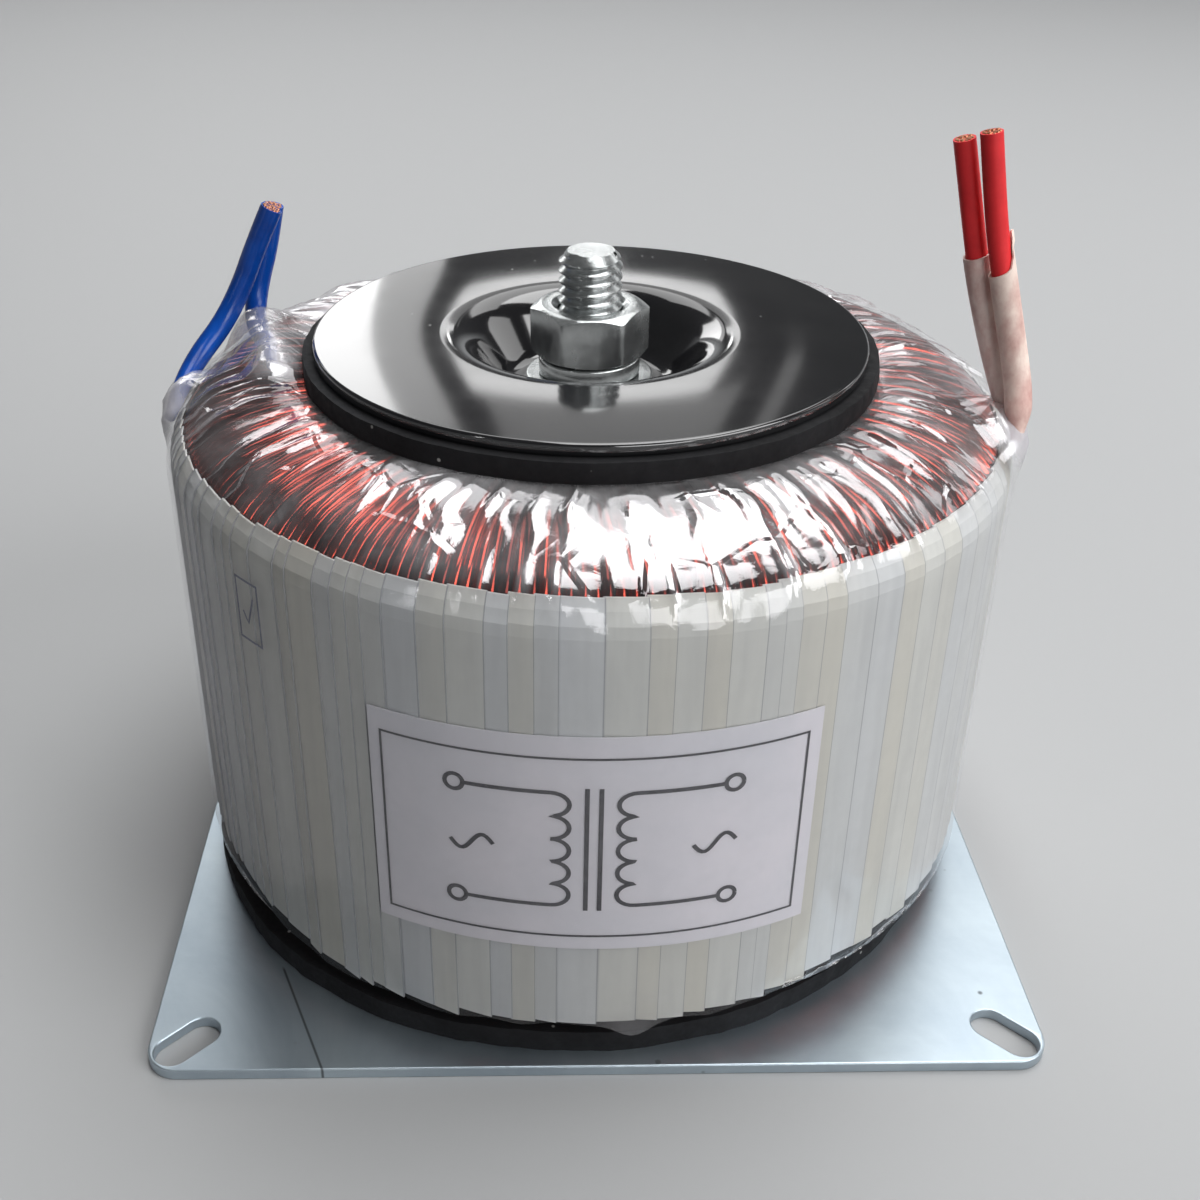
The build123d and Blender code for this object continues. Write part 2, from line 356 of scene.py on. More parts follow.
class Nodes:
    """The node tree of a material or a world, built up one node at a time."""

    def __init__(self, name: str, kind: str = "materials") -> None:
        """Starts an empty tree.

        Args:
            name: name of the new material or world.
            kind: "materials" or "worlds".
        """
        self.owner = getattr(bpy.data, kind).new(name)
        self.owner.use_nodes = True
        self.tree = self.owner.node_tree
        self.tree.nodes.clear()

    def node(self, kind: str, sockets: dict | None = None, **settings: object) -> bpy.types.Node:
        """Adds a node.

        Args:
            kind: the node's type, without its prefix.
            sockets: inputs by name or number, each a constant or another node's output.
            **settings: the node's own properties.

        Returns:
            The new node.
        """
        made = self.tree.nodes.new("ShaderNode" + kind)
        for key, value in settings.items():
            setattr(made, key, value)
        for key, value in (sockets or {}).items():
            if isinstance(value, bpy.types.NodeSocket):
                self.tree.links.new(value, made.inputs[key])
            else:
                made.inputs[key].default_value = value
        return made

    def place(self, scale: tuple[float, float, float] = (1, 1, 1)) -> bpy.types.NodeSocket:
        """Object coordinates, stretched by a scale."""
        place = self.node("TexCoord").outputs["Object"]
        return self.node("Mapping", {"Vector": place, "Scale": scale}).outputs[0]

    def attribute(self, name: str) -> bpy.types.NodeSocket:
        """A number stored on the mesh."""
        return self.node("Attribute", attribute_name=name).outputs["Fac"]

    def noise(self, scale: float, detail: float = 3.0, rough: float = 0.5,
              place: bpy.types.NodeSocket | None = None, distortion: float = 0.0) -> bpy.types.NodeSocket:
        """Cloudy noise.

        Args:
            scale: waves in a metre.
            detail: layers of finer noise.
            rough: how strong the finer layers are.
            place: coordinates, the object's own if left out.
            distortion: how far the clouds are drawn out of shape.

        Returns:
            A number between 0 and 1.
        """
        sockets = {"Vector": place or self.place(), "Scale": scale, "Detail": detail, "Roughness": rough,
                   "Distortion": distortion}
        return self.node("TexNoise", sockets).outputs["Fac"]

    def spots(self, scale: float, size: float) -> bpy.types.NodeSocket:
        """Small round specks: 1 inside a speck and 0 outside it."""
        cells = self.node("TexVoronoi", {"Vector": self.place(), "Scale": scale}).outputs["Distance"]
        return self.node("MapRange", {"Value": cells, "From Min": size, "From Max": size * 0.6}).outputs[0]

    def remap(self, value: bpy.types.NodeSocket, old: tuple[float, float],
              new: tuple[float, float] = (0, 1)) -> bpy.types.NodeSocket:
        """Carries a number from one range to another and holds it there."""
        ends = dict(zip(("From Min", "From Max", "To Min", "To Max"), (*old, *new)))
        return self.node("MapRange", {"Value": value, **ends}).outputs[0]

    def step(self, kind: str, first: object, second: object) -> bpy.types.NodeSocket:
        """One step of arithmetic on two numbers."""
        return self.node("Math", {0: first, 1: second}, operation=kind).outputs[0]

    def plus(self, first: object, second: object) -> bpy.types.NodeSocket:
        """Two numbers added up."""
        return self.step("ADD", first, second)

    def times(self, first: object, second: object) -> bpy.types.NodeSocket:
        """Two numbers multiplied."""
        return self.step("MULTIPLY", first, second)

    def mix(self, share: object, first: object, second: object, blend: str = "MIX") -> bpy.types.NodeSocket:
        """Mixes two colours.

        Args:
            share: how much of the second colour shows.
            first: a colour or a socket.
            second: a colour or a socket.
            blend: the way they are mixed.

        Returns:
            The mixed colour.
        """
        made = self.node("Mix", data_type="RGBA", blend_type=blend)
        for key, value in ((0, share), (6, first), (7, second)):
            if isinstance(value, bpy.types.NodeSocket):
                self.tree.links.new(value, made.inputs[key])
            else:
                made.inputs[key].default_value = value if key == 0 else (*value, 1)
        return made.outputs[2]

    def bump(self, height: bpy.types.NodeSocket, depth: float,
             under: bpy.types.NodeSocket | None = None) -> bpy.types.NodeSocket:
        """Relief from a height between 0 and 1, its depth in millimetres."""
        sockets = {"Height": height, "Distance": depth * MM, "Strength": 1.0}
        if under:
            sockets["Normal"] = under
        return self.node("Bump", sockets).outputs[0]

    def surface(self, colour: object, rough: object, **sockets: object) -> bpy.types.Material:
        """Ends the tree in one shader.

        Args:
            colour: base colour, a colour or a socket.
            rough: roughness, a number or a socket.
            **sockets: the shader's other inputs, their names in lower case with underscores.

        Returns:
            The finished material.
        """
        base = (*colour, 1) if isinstance(colour, tuple) else colour
        named = {key.replace("_", " ").title().replace("Ior", "IOR"): value for key, value in sockets.items()}
        shader = self.node("BsdfPrincipled", {"Base Color": base, "Roughness": rough, **named})
        self.node("OutputMaterial", {"Surface": shader.outputs[0]})
        return self.owner


@dataclass(frozen=True)
class WireEnamel:
    """Copper under wine-red enamel, darker and lighter from turn to turn."""

    dark: Colour = (0.11, 0.015, 0.012)
    bright: Colour = (0.53, 0.066, 0.036)
    roughness: float = 0.11

    def material(self) -> bpy.types.Material:
        """Builds the material."""
        nodes = Nodes("wire_enamel")
        tone = nodes.attribute("tone")
        cloud = nodes.noise(260, 4, 0.6)
        colour = nodes.mix(nodes.remap(tone, (0, 1)), self.dark, self.bright)
        colour = nodes.mix(nodes.remap(cloud, (0.35, 0.75), (0.0, 0.45)), colour, self.dark)
        rough = nodes.remap(cloud, (0.3, 0.7), (self.roughness - 0.05, self.roughness + 0.12))
        relief = nodes.bump(nodes.noise(900, 2), 0.006)
        return nodes.surface(colour, rough, metallic=1.0, coat_weight=0.2, coat_roughness=0.08, normal=relief)


@dataclass(frozen=True)
class MilkyStrip:
    """Milky film in strips, each a little bluer or yellower, with faint darker fibres and painted shade along
    both edges of each strip.
    """

    pale: Colour = (0.64, 0.65, 0.63)
    warm: Colour = (0.62, 0.605, 0.545)
    cool: Colour = (0.61, 0.635, 0.665)
    # This colour darkens the faint fibres, and is painted shade along both edges of each strip.
    fibre_and_seam_shade: Colour = (0.22, 0.23, 0.26)

    def material(self) -> bpy.types.Material:
        """Builds the material."""
        nodes = Nodes("milky_strip")
        tone = nodes.attribute("tone")
        across = nodes.attribute("across")
        cloud = nodes.noise(38, 5, 0.6, nodes.place((1, 1, 0.35)))
        colour = nodes.mix(nodes.remap(tone, (0.0, 0.5), (0.9, 0)), self.pale, self.cool)
        colour = nodes.mix(nodes.remap(tone, (0.64, 1.0), (0, 0.9)), colour, self.warm)
        colour = nodes.mix(nodes.remap(cloud, (0.35, 0.7), (0.0, 0.35)), colour, self.warm)
        fibres = nodes.noise(420, 3, 0.6, nodes.place((1, 1, 0.08)))
        colour = nodes.mix(nodes.remap(fibres, (0.4, 0.75), (0, 0.16)), colour, self.fibre_and_seam_shade)
        broken = nodes.remap(nodes.noise(90, 3, 0.6, nodes.place((1, 1, 0.4))), (0.3, 0.62), (0.2, 1.0))
        # Painted shade: a dark line, broken here and there, along both edges of each strip, where the step
        # from strip to strip would shade.
        line = nodes.times(nodes.remap(across, (0.085, 0.02)), broken)
        line = nodes.step("MAXIMUM", line, nodes.remap(across, (0.965, 0.99)))
        colour = nodes.mix(nodes.times(line, 0.75), colour, self.fibre_and_seam_shade)
        rough = nodes.remap(cloud, (0.3, 0.7), (0.32, 0.5))
        relief = nodes.bump(nodes.noise(700, 3, 0.6, nodes.place((1, 1, 0.2))), 0.02)
        return nodes.surface(colour, rough, normal=relief)


@dataclass(frozen=True)
class ClearFilm:
    """Clear polyester film: it mirrors what is bright and lets the rest be seen, with a faint haze."""

    tint: Colour = (0.96, 0.95, 0.97)
    milky: Colour = (0.52, 0.50, 0.54)
    haze: float = 0.035
    most: float = 0.32
    index: float = 1.75
    creases: float = 150.0

    def material(self) -> bpy.types.Material:
        """Builds the material."""
        nodes = Nodes("clear_film")
        layers, milk = nodes.attribute("layers"), nodes.attribute("milk")
        fresnel = nodes.node("Fresnel", {"IOR": self.index}).outputs[0]
        cloud = nodes.noise(120, 5, 0.65)
        haze = nodes.remap(cloud, (0.42, 0.75), (self.haze * 0.4, self.haze * 2))
        mirrored = nodes.step("MINIMUM", nodes.times(fresnel, layers), self.most)
        cover = nodes.plus(mirrored, haze)
        # Milk is milky film, and at the drips and the folded lower corner it is also a painted highlight.
        cover = nodes.plus(cover, nodes.times(milk, 0.85))
        rough = nodes.remap(nodes.noise(70, 3), (0.35, 0.7), (0.06, 0.2))
        rough = nodes.plus(rough, nodes.times(milk, 0.15))
        cells = nodes.node("TexVoronoi", {"Vector": nodes.place(), "Scale": self.creases},
                           feature="DISTANCE_TO_EDGE")
        creases = nodes.times(nodes.remap(cells.outputs["Distance"], (0.0, 0.07), (1, 0)),
                              nodes.remap(nodes.noise(110, 3), (0.42, 0.62)))
        creases = nodes.times(creases, nodes.remap(layers, (0.6, 1.3), (0.15, 1)))
        relief = nodes.bump(nodes.noise(330, 5, 0.66, distortion=0.5), 0.05, nodes.bump(creases, 0.14))
        clear = nodes.step("SUBTRACT", 1.0, milk)
        metal = nodes.times(nodes.remap(cloud, (0.42, 0.75), (0.9, 0.5)), clear)
        return nodes.surface(nodes.mix(milk, self.tint, self.milky), rough, metallic=metal, normal=relief,
                             alpha=nodes.step("MINIMUM", cover, 0.95))


@dataclass(frozen=True)
class BlackEnamel:
    """Black stove enamel with a mirror gloss, a little dust and faint wiping marks."""

    base: Colour = (0.006, 0.006, 0.007)
    dust: Colour = (0.34, 0.34, 0.33)

    def material(self) -> bpy.types.Material:
        """Builds the material."""
        nodes = Nodes("black_enamel")
        dusty = nodes.remap(nodes.noise(60, 2), (0.54, 0.66), (0, 0.5))
        specks = nodes.times(nodes.spots(330, 0.07), dusty)
        bloom = nodes.remap(nodes.noise(45, 5, 0.6), (0.45, 0.8), (0.0, 0.03))
        colour = nodes.mix(nodes.plus(specks, bloom), self.base, self.dust)
        wiped = nodes.noise(25, 4, 0.6, nodes.place((1, 6, 1)))
        rough = nodes.plus(nodes.remap(wiped, (0.35, 0.8), (0.085, 0.13)), specks)
        relief = nodes.bump(nodes.noise(95, 3), 0.008)
        return nodes.surface(colour, rough, normal=relief, ior=1.62, coat_weight=0.6, coat_roughness=0.075)


@dataclass(frozen=True)
class Rubber:
    """Matte black sheet rubber, faintly dusty."""

    base: Colour = (0.006, 0.006, 0.007)
    dust: Colour = (0.024, 0.025, 0.028)

    def material(self) -> bpy.types.Material:
        """Builds the material."""
        nodes = Nodes("sheet_rubber")
        grain = nodes.noise(650, 5, 0.65)
        cloud = nodes.noise(55, 4, 0.6)
        colour = nodes.mix(nodes.remap(cloud, (0.4, 0.8), (0, 0.6)), self.base, self.dust)
        specks = nodes.spots(260, 0.07)
        colour = nodes.mix(nodes.times(specks, 0.5), colour, (0.5, 0.5, 0.48))
        return nodes.surface(colour, nodes.remap(grain, (0.3, 0.7), (0.65, 0.9)), specular_ior_level=0.22,
                             normal=nodes.bump(grain, 0.06))


@dataclass(frozen=True)
class ZincSheet:
    """Bluish zinc plate on sheet steel: clouded, rubbed one way, with dark specks and a scribed line.

    The scribed line starts at a place on the plate's front edge, in metres, and runs back under the pad.
    """

    pale: Colour = (0.54, 0.62, 0.67)
    deep: Colour = (0.40, 0.47, 0.53)
    mark: Colour = (0.06, 0.065, 0.07)
    scribe_start: tuple[float, float] = (-0.0324, -0.0535)
    scribe_slope: float = -0.412
    scribe_edges: tuple[float, float] = (0.00022, 0.00008)
    scribe_end: tuple[float, float] = (-0.0368, -0.0375)

    def material(self) -> bpy.types.Material:
        """Builds the material."""
        nodes = Nodes("zinc_sheet")
        cloud = nodes.noise(42, 6, 0.62, distortion=0.6)
        grain = nodes.noise(900, 3, 0.6, nodes.place((0.12, 1, 1)))
        fine = nodes.noise(1500, 2, 0.5)
        colour = nodes.mix(nodes.remap(cloud, (0.36, 0.68)), self.deep, self.pale)
        colour = nodes.mix(nodes.remap(grain, (0.35, 0.7), (0, 0.14)), colour, self.deep)
        specks = nodes.times(nodes.spots(240, 0.11), nodes.remap(nodes.noise(80, 2), (0.5, 0.62)))
        colour = nodes.mix(nodes.times(specks, 0.8), colour, self.mark)
        colour = nodes.mix(nodes.times(self.scribed(nodes), 0.75), colour, self.mark)
        rough = nodes.remap(cloud, (0.3, 0.7), (0.30, 0.42))
        relief = nodes.bump(fine, 0.006, nodes.bump(grain, 0.006))
        return nodes.surface(colour, rough, metallic=0.9, normal=relief)

    def scribed(self, nodes: Nodes) -> bpy.types.NodeSocket:
        """A line scratched from the front edge to the pad: 1 on the line and 0 beside it."""
        place = nodes.node("SeparateXYZ", {"Vector": nodes.place()})
        x, y = self.scribe_start
        lean = nodes.times(nodes.plus(place.outputs[1], -y), self.scribe_slope)
        aside = nodes.step("SUBTRACT", nodes.plus(place.outputs[0], -x), lean)
        line = nodes.remap(nodes.step("ABSOLUTE", aside, 0), self.scribe_edges)
        return nodes.times(line, nodes.remap(place.outputs[1], self.scribe_end))


@dataclass(frozen=True)
class ZincBright:
    """Bright zinc plate on fasteners, with tool marks."""

    base: Colour = (0.64, 0.66, 0.66)
    deep: Colour = (0.40, 0.42, 0.42)

    def material(self) -> bpy.types.Material:
        """Builds the material."""
        nodes = Nodes("zinc_bright")
        cloud = nodes.noise(220, 4, 0.6)
        marks = nodes.noise(1400, 3, 0.6, nodes.place((1, 1, 0.25)))
        colour = nodes.mix(nodes.remap(cloud, (0.35, 0.7)), self.deep, self.base)
        rough = nodes.remap(cloud, (0.3, 0.7), (0.17, 0.30))
        return nodes.surface(colour, rough, metallic=0.92, normal=nodes.bump(marks, 0.02))


@dataclass(frozen=True)
class LeadPlastic:
    """Insulation of a lead: one colour, finely mottled, with scuffs."""

    name: str
    base: Colour
    deep: Colour
    roughness: float
    specular: float = 0.5

    def material(self) -> bpy.types.Material:
        """Builds the material."""
        nodes = Nodes(self.name)
        cloud = nodes.noise(180, 4, 0.6)
        scuff = nodes.noise(700, 4, 0.7, nodes.place((1, 1, 0.3)))
        colour = nodes.mix(nodes.remap(cloud, (0.35, 0.7)), self.base, self.deep)
        rough = nodes.remap(scuff, (0.35, 0.75), (self.roughness - 0.06, self.roughness + 0.1))
        return nodes.surface(colour, rough, specular_ior_level=self.specular, normal=nodes.bump(scuff, 0.02))


@dataclass(frozen=True)
class SleeveFilm:
    """Thin whitish pink sleeve through which the red shows, wrinkled across."""

    name: str
    milky: Colour
    thin: Colour = (0.66, 0.30, 0.27)
    cover: float = 0.84

    def material(self) -> bpy.types.Material:
        """Builds the material."""
        nodes = Nodes(self.name)
        cloud = nodes.noise(160, 5, 0.65, nodes.place((1, 1, 0.6)))
        colour = nodes.mix(nodes.remap(cloud, (0.42, 0.72)), self.milky, self.thin)
        alpha = nodes.remap(cloud, (0.35, 0.75), (self.cover + 0.12, self.cover - 0.2))
        wrinkle = nodes.noise(520, 4, 0.6, nodes.place((0.5, 0.5, 1)))
        return nodes.surface(colour, nodes.remap(cloud, (0.3, 0.7), (0.4, 0.6)), alpha=alpha,
                             normal=nodes.bump(wrinkle, 0.08))


@dataclass(frozen=True)
class PlainStock:
    """Plain stock with faint clouds and grain: paper, ink, bare copper, core steel or inner film."""

    name: str
    base: Colour
    deep: Colour
    roughness: float
    metallic: float = 0.0
    relief: float = 0.02
    scale: float = 300.0

    def material(self) -> bpy.types.Material:
        """Builds the material."""
        nodes = Nodes(self.name)
        cloud = nodes.noise(self.scale, 5, 0.62)
        colour = nodes.mix(nodes.remap(cloud, (0.35, 0.7)), self.base, self.deep)
        rough = nodes.remap(cloud, (0.3, 0.7), (self.roughness - 0.06, self.roughness + 0.08))
        return nodes.surface(colour, rough, metallic=self.metallic, normal=nodes.bump(cloud, self.relief))


# Sub-assemblies


@dataclass
class Toroid:
    """Shape of the wound ring over the crests of its wires, in millimetres."""

    bore: float = 20.0
    radius: float = 51.9
    low: float = 4.5
    high: float = 68.5
    top_width: float = 15.4
    top_drop: float = 8.5
    foot: float = 5.5

    def shoulder(self, degrees: float, proud: float = 0.0) -> tuple[float, float]:
        """Radius and height on the round top shoulder.

        Args:
            degrees: angle above the shoulder's springing line.
            proud: distance out from the crests of the wires.

        Returns:
            The radius and the height.
        """
        angle = math.radians(degrees)
        radius = self.radius - self.top_width * (1 - math.cos(angle))
        height = self.high - self.top_drop * (1 - math.sin(angle))
        normal = Vector((math.cos(angle) / self.top_width, math.sin(angle) / self.top_drop)).normalized()
        return radius + normal[0] * proud, height + normal[1] * proud

    def ring(self, proud: float, steps: int) -> list[tuple[float, float]]:
        """The closed outline of the ring's section.

        Args:
            proud: distance out from the crests, negative for inside.
            steps: points on the top shoulder.

        Returns:
            Radius and height of each point, from the foot up the outside and down the bore.
        """
        low, high = self.low - proud, self.high + proud
        outside = [(self.radius - self.foot, low), (self.radius + proud, self.low + self.foot),
                   (self.radius + proud, 36.0)]
        top = [self.shoulder(90 * step / steps, proud) for step in range(steps + 1)]
        inside = [(28.0, high), (self.bore + 1.5 - proud, high), (self.bore - proud, high - 1.5),
                  (self.bore - proud, low + 1.5), (self.bore + 1.5 - proud, low)]
        return outside + top + inside


@dataclass
class Windings:
    """The outer winding, wire by wire, and the layer of turns that shows between them."""

    toroid: Toroid
    turns: int = 240
    wire: float = 1.3
    layer_drop: float = 0.55
    lean: float = 1.5
    stray: float = 0.16
    waver: float = 0.5
    split: float = 36.0

    def build(self) -> None:
        """Makes both pieces and dresses them."""
        finish = WireEnamel().material()
        turns = self.outer_turns()
        finish_piece(turns, finish, ["secondary_winding"])
        under = lathed("lower_turns", self.toroid.ring(-1.15, 9)[:-5] + self.toroid.ring(-3.0, 3)[-5::-1], 96)
        write_attribute(under, "tone", np.zeros(len(under.data.vertices)))
        finish_piece(under, finish)

    def one_turn(self) -> bpy.types.Object:
        """One wire bent round the ring's section."""
        turn = drawn("turn", self.toroid.ring(-self.wire / 2, 11))
        use(turn)
        bpy.ops.object.convert(target="CURVE")
        turn.data.bevel_depth = self.wire / 2 * MM
        turn.data.bevel_resolution = 2
        bpy.ops.object.convert(target="MESH")
        with editing(turn):
            bpy.ops.mesh.normals_make_consistent(inside=False)
            bpy.ops.mesh.faces_shade_smooth()
        return turn

    def outer_turns(self) -> bpy.types.Object:
        """Lays the turns side by side round the ring, each a little out of line."""
        turn = self.one_turn()
        points = points_of(turn)
        radius = points[:, 0] / MM
        upward = points[:, 2] / MM > self.split
        inward = np.clip((self.toroid.radius - radius) / (self.toroid.radius - self.toroid.bore), 0, 1)
        sunk = ramped(-radius, -47.5, -40.0)
        rng = np.random.default_rng(7)
        places = np.arange(self.turns) / self.turns
        level = np.zeros(self.turns)
        leans = self.lean * rolling(places, level, (17, 1), 3)
        leans = leans + self.waver * rolling(places, level, (60, 1), 5)
        copies = []
        for index in range(self.turns):
            ends = rng.uniform(-self.stray, self.stray, 2)
            shift = ends[0] + (ends[1] * 2 + leans[index]) * ramped(inward, 0.0, 0.5)
            angle = TURN * places[index] + shift / self.toroid.radius
            drop = (index % 3) * self.layer_drop * np.where(upward, sunk, -sunk) + rng.uniform(0, 0.12)
            lifted = np.where(upward, -1.0, 1.0) * np.abs(drop)
            x = points[:, 0] * np.cos(angle) - points[:, 1] * np.sin(angle)
            y = points[:, 0] * np.sin(angle) + points[:, 1] * np.cos(angle)
            z = points[:, 2] + lifted * MM * ramped(inward, 0.02, 0.2)
            copy = copied(turn, np.column_stack([x, y, z]))
            write_attribute(copy, "tone", np.full(len(points), rng.uniform(0, 1)))
            copies.append(copy)
        bpy.data.objects.remove(turn)
        return joined("outer_turns", copies)


@dataclass
class Band:
    """The milky band: upright strips round the side, each lapped over the next one's edge."""

    toroid: Toroid
    strips: int = 108
    thickness: float = 0.22
    gap: float = 0.1
    lap: float = 0.26
    top_angle: float = 26.0
    unevenness: float = 0.9
    ragged: float = 0.35
    overlap: float = 0.25

    def wall(self, height: np.ndarray) -> np.ndarray:
        """Inner radius of the band at each height."""
        spring = self.toroid.high - self.toroid.top_drop
        rise = np.clip((height - spring) / self.toroid.top_drop, 0, 1)
        return self.toroid.radius + self.gap - self.toroid.top_width * (1 - np.sqrt(1 - rise**2))

    def lower_edge(self, degrees: float) -> float:
        """Height at which the strips end, as hand-trimmed, at an angle round the ring."""
        angles = (-180, -151, -128, -107, -95, -82, -68, -58, -45, 0, 90, 180)
        heights = (9.6, 9.8, 6.9, 7.0, 7.3, 7.6, 8.2, 9.2, 9.4, 8.8, 8.0, 9.6)
        return float(np.interp((degrees + 180) % 360 - 180, angles, heights))

    def build(self) -> None:
        """Makes the band and dresses it."""
        strip = self.one_strip()
        points = points_of(strip)
        rng = np.random.default_rng(11)
        widths = rng.uniform(1 - self.unevenness / 2, 1 + self.unevenness / 2, self.strips)
        starts = np.concatenate([[0], np.cumsum(widths / widths.sum() * TURN)])
        _, top = self.toroid.shoulder(self.top_angle)
        copies = []
        for index in range(self.strips):
            across, out, up = points[:, 0] + 0.5, points[:, 1] + 0.5, points[:, 2] + 0.5
            low = self.lower_edge(math.degrees(starts[index])) + rng.uniform(-self.ragged, self.ragged)
            skew = rng.uniform(-self.ragged, self.ragged)
            high = top + rng.uniform(-0.12, 0.12)
            height = np.interp(up, (0, 0.25, 0.5, 0.7, 0.8, 0.9, 1), (0, 0.4, 0.8, 0.93, 0.955, 0.98, 1.0))
            height = low + skew * across * (1 - up) + height * (high - low - skew * across * (1 - up))
            end = starts[index + 1] + self.overlap / self.toroid.radius
            angle = starts[index] + across * (end - starts[index]) + rng.uniform(-1, 1) * 0.003 * (1 - up)
            radius = self.wall(height) + self.lap * across + self.thickness * out
            copy = copied(strip, round_places(radius, angle, height))
            write_attribute(copy, "tone", np.full(len(points), rng.uniform(0, 1)))
            write_attribute(copy, "across", across)
            copies.append(copy)
        bpy.data.objects.remove(strip)
        band = joined("milky_band", copies)
        with editing(band):
            bpy.ops.mesh.normals_make_consistent(inside=False)
        finish_piece(band, MilkyStrip().material(), ["side_band"])

    def one_strip(self) -> bpy.types.Object:
        """One strip, a flat bar cut across so that it can follow the wall."""
        strip = added(bpy.ops.mesh.primitive_cube_add, "strip", size=1)
        with editing(strip):
            for height in (-0.25, 0, 0.2, 0.3, 0.4):
                bpy.ops.mesh.select_all(action="SELECT")
                bpy.ops.mesh.bisect(plane_co=(0, 0, height), plane_no=(0, 0, 1))
            for side in (-0.25, 0.25):
                bpy.ops.mesh.select_all(action="SELECT")
                bpy.ops.mesh.bisect(plane_co=(side, 0, 0), plane_no=(1, 0, 0))
        return strip


@dataclass
class Papers:
    """The label, its plain print, and the small inspection mark."""

    radius: float = 52.62
    paper: float = 0.1
    label_angles: tuple[float, float] = (-118.4, -64.0)
    label_heights: tuple[float, float] = (19.4, 48.4)
    frame_angles: tuple[float, float] = (-116.9, -65.7)
    frame_heights: tuple[float, float] = (21.2, 45.8)
    mark_angles: tuple[float, float] = (-139.2, -134.6)
    mark_heights: tuple[float, float] = (49.6, 57.6)
    ink_gap: float = 0.06

    @property
    def ink_radius(self) -> float:
        """Distance of the print from the axis, a little over the paper."""
        return self.radius + self.paper + self.ink_gap

    def wrapped(self, name: str, angles: tuple[float, float], heights: tuple[float, float], radius: float,
                grid: tuple[int, int] = (24, 2)) -> bpy.types.Object:
        """A flat patch laid round the band.

        Args:
            name: name of the patch.
            angles: where it starts and ends round the ring, in degrees.
            heights: its lower and upper edge.
            radius: how far it lies from the axis.
            grid: its faces round and up.

        Returns:
            The patch, a single sheet that faces outwards.
        """
        patch = added(bpy.ops.mesh.primitive_grid_add, name, x_subdivisions=grid[0],
                      y_subdivisions=grid[1], size=1)
        flat = points_of(patch)
        across, up = flat[:, 0] + 0.5, flat[:, 1] + 0.5
        angle = np.radians(angles[0] + across * (angles[1] - angles[0]))
        height = heights[0] + up * (heights[1] - heights[0])
        put_points(patch, round_places(radius, angle, height))
        return patch

    def bar(self, angles: tuple[float, float], heights: tuple[float, float]) -> bpy.types.Object:
        """One printed bar, a little over the paper."""
        faces = max(2, int(abs(angles[1] - angles[0]) * 2))
        return self.wrapped("bar", angles, heights, self.ink_radius, (faces, 1))

    def frame_bars(self, angles: tuple[float, float], heights: tuple[float, float],
                   line: float) -> list[bpy.types.Object]:
        """Four bars that make a frame."""
        turn = math.degrees(line / self.radius)
        left, right = angles
        low, high = heights
        return [self.bar((left, right), (low, low + line)), self.bar((left, right), (high - line, high)),
                self.bar((left, left + turn), (low, high)), self.bar((right - turn, right), (low, high))]

    def build(self) -> None:
        """Makes the label, the print and the mark, and dresses them."""
        label = self.wrapped("paper_label", self.label_angles, self.label_heights, self.radius, (60, 16))
        flat = points_of(label)
        around = bearing(flat) / TURN + 0.5
        put_points(label, widened(flat, 1 + 0.0003 * rolling(around, flat[:, 2] / 0.07, (60, 5), 21)))
        apply_modifier(label, "SOLIDIFY", thickness=self.paper * MM, offset=1.0)
        smoothed(label, 30)
        paper = PlainStock("label_paper", (0.76, 0.74, 0.79), (0.68, 0.68, 0.73), 0.5, scale=70)
        finish_piece(label, paper.material(), ["label"])
        ink = PlainStock("black_ink", (0.035, 0.033, 0.04), (0.06, 0.06, 0.07), 0.5, scale=900)
        marks = self.frame_bars(self.frame_angles, self.frame_heights, 0.28)
        marks += [self.stroke(line, 0.5) for line in self.diagram()]
        finish_piece(joined("label_print", marks), ink.material())
        stamp_ink = PlainStock("stamp_ink", (0.09, 0.10, 0.17), (0.2, 0.21, 0.28), 0.55, scale=700)
        stamp = self.frame_bars(self.mark_angles, self.mark_heights, 0.3)
        middle = math.radians(sum(self.mark_angles) / 2) * self.radius
        tick = [(middle - 1.0, 53.4), (middle - 0.2, 52.0), (middle + 1.1, 55.6)]
        stamp.append(self.stroke(tick, 0.3))
        finish_piece(joined("inspection_mark", stamp), stamp_ink.material())

    def diagram(self) -> list[list[tuple[float, float]]]:
        """Lines of the winding diagram: two coils with their terminals, and the core between them."""
        across = math.radians(sum(self.frame_angles) / 2) * self.radius
        middle = sum(self.frame_heights) / 2
        turns, pitch = 5, 3.1
        core = (across - 0.75, across + 0.75)
        lines = [[(place, middle - 8.4), (place, middle + 8.4)] for place in core]
        for side in (-1, 1):
            start = across + side * 4.6
            coil = []
            for step in range(turns * 12 + 1):
                turn, angle = divmod(step, 12)
                half = math.pi * angle / 12
                coil.append((start - side * 2.0 * math.sin(half),
                             middle - turns * pitch / 2 + pitch * (turn + (1 - math.cos(half)) / 2)))
            low, high = coil[0], coil[-1]
            lines += [coil, [(start + side * 9.4, low[1]), low], [(start + side * 9.4, high[1]), high]]
            for end in (low, high):
                angles = [TURN * step / 20 for step in range(21)]
                lines.append([(start + side * 10.4 + math.cos(angle), end[1] + math.sin(angle))
                              for angle in angles])
            wave = np.linspace(-1, 1, 15)
            lines.append([(start + side * 8.6 + 2.4 * part, middle + 1.1 * math.sin(math.pi * part))
                          for part in wave])
        return lines

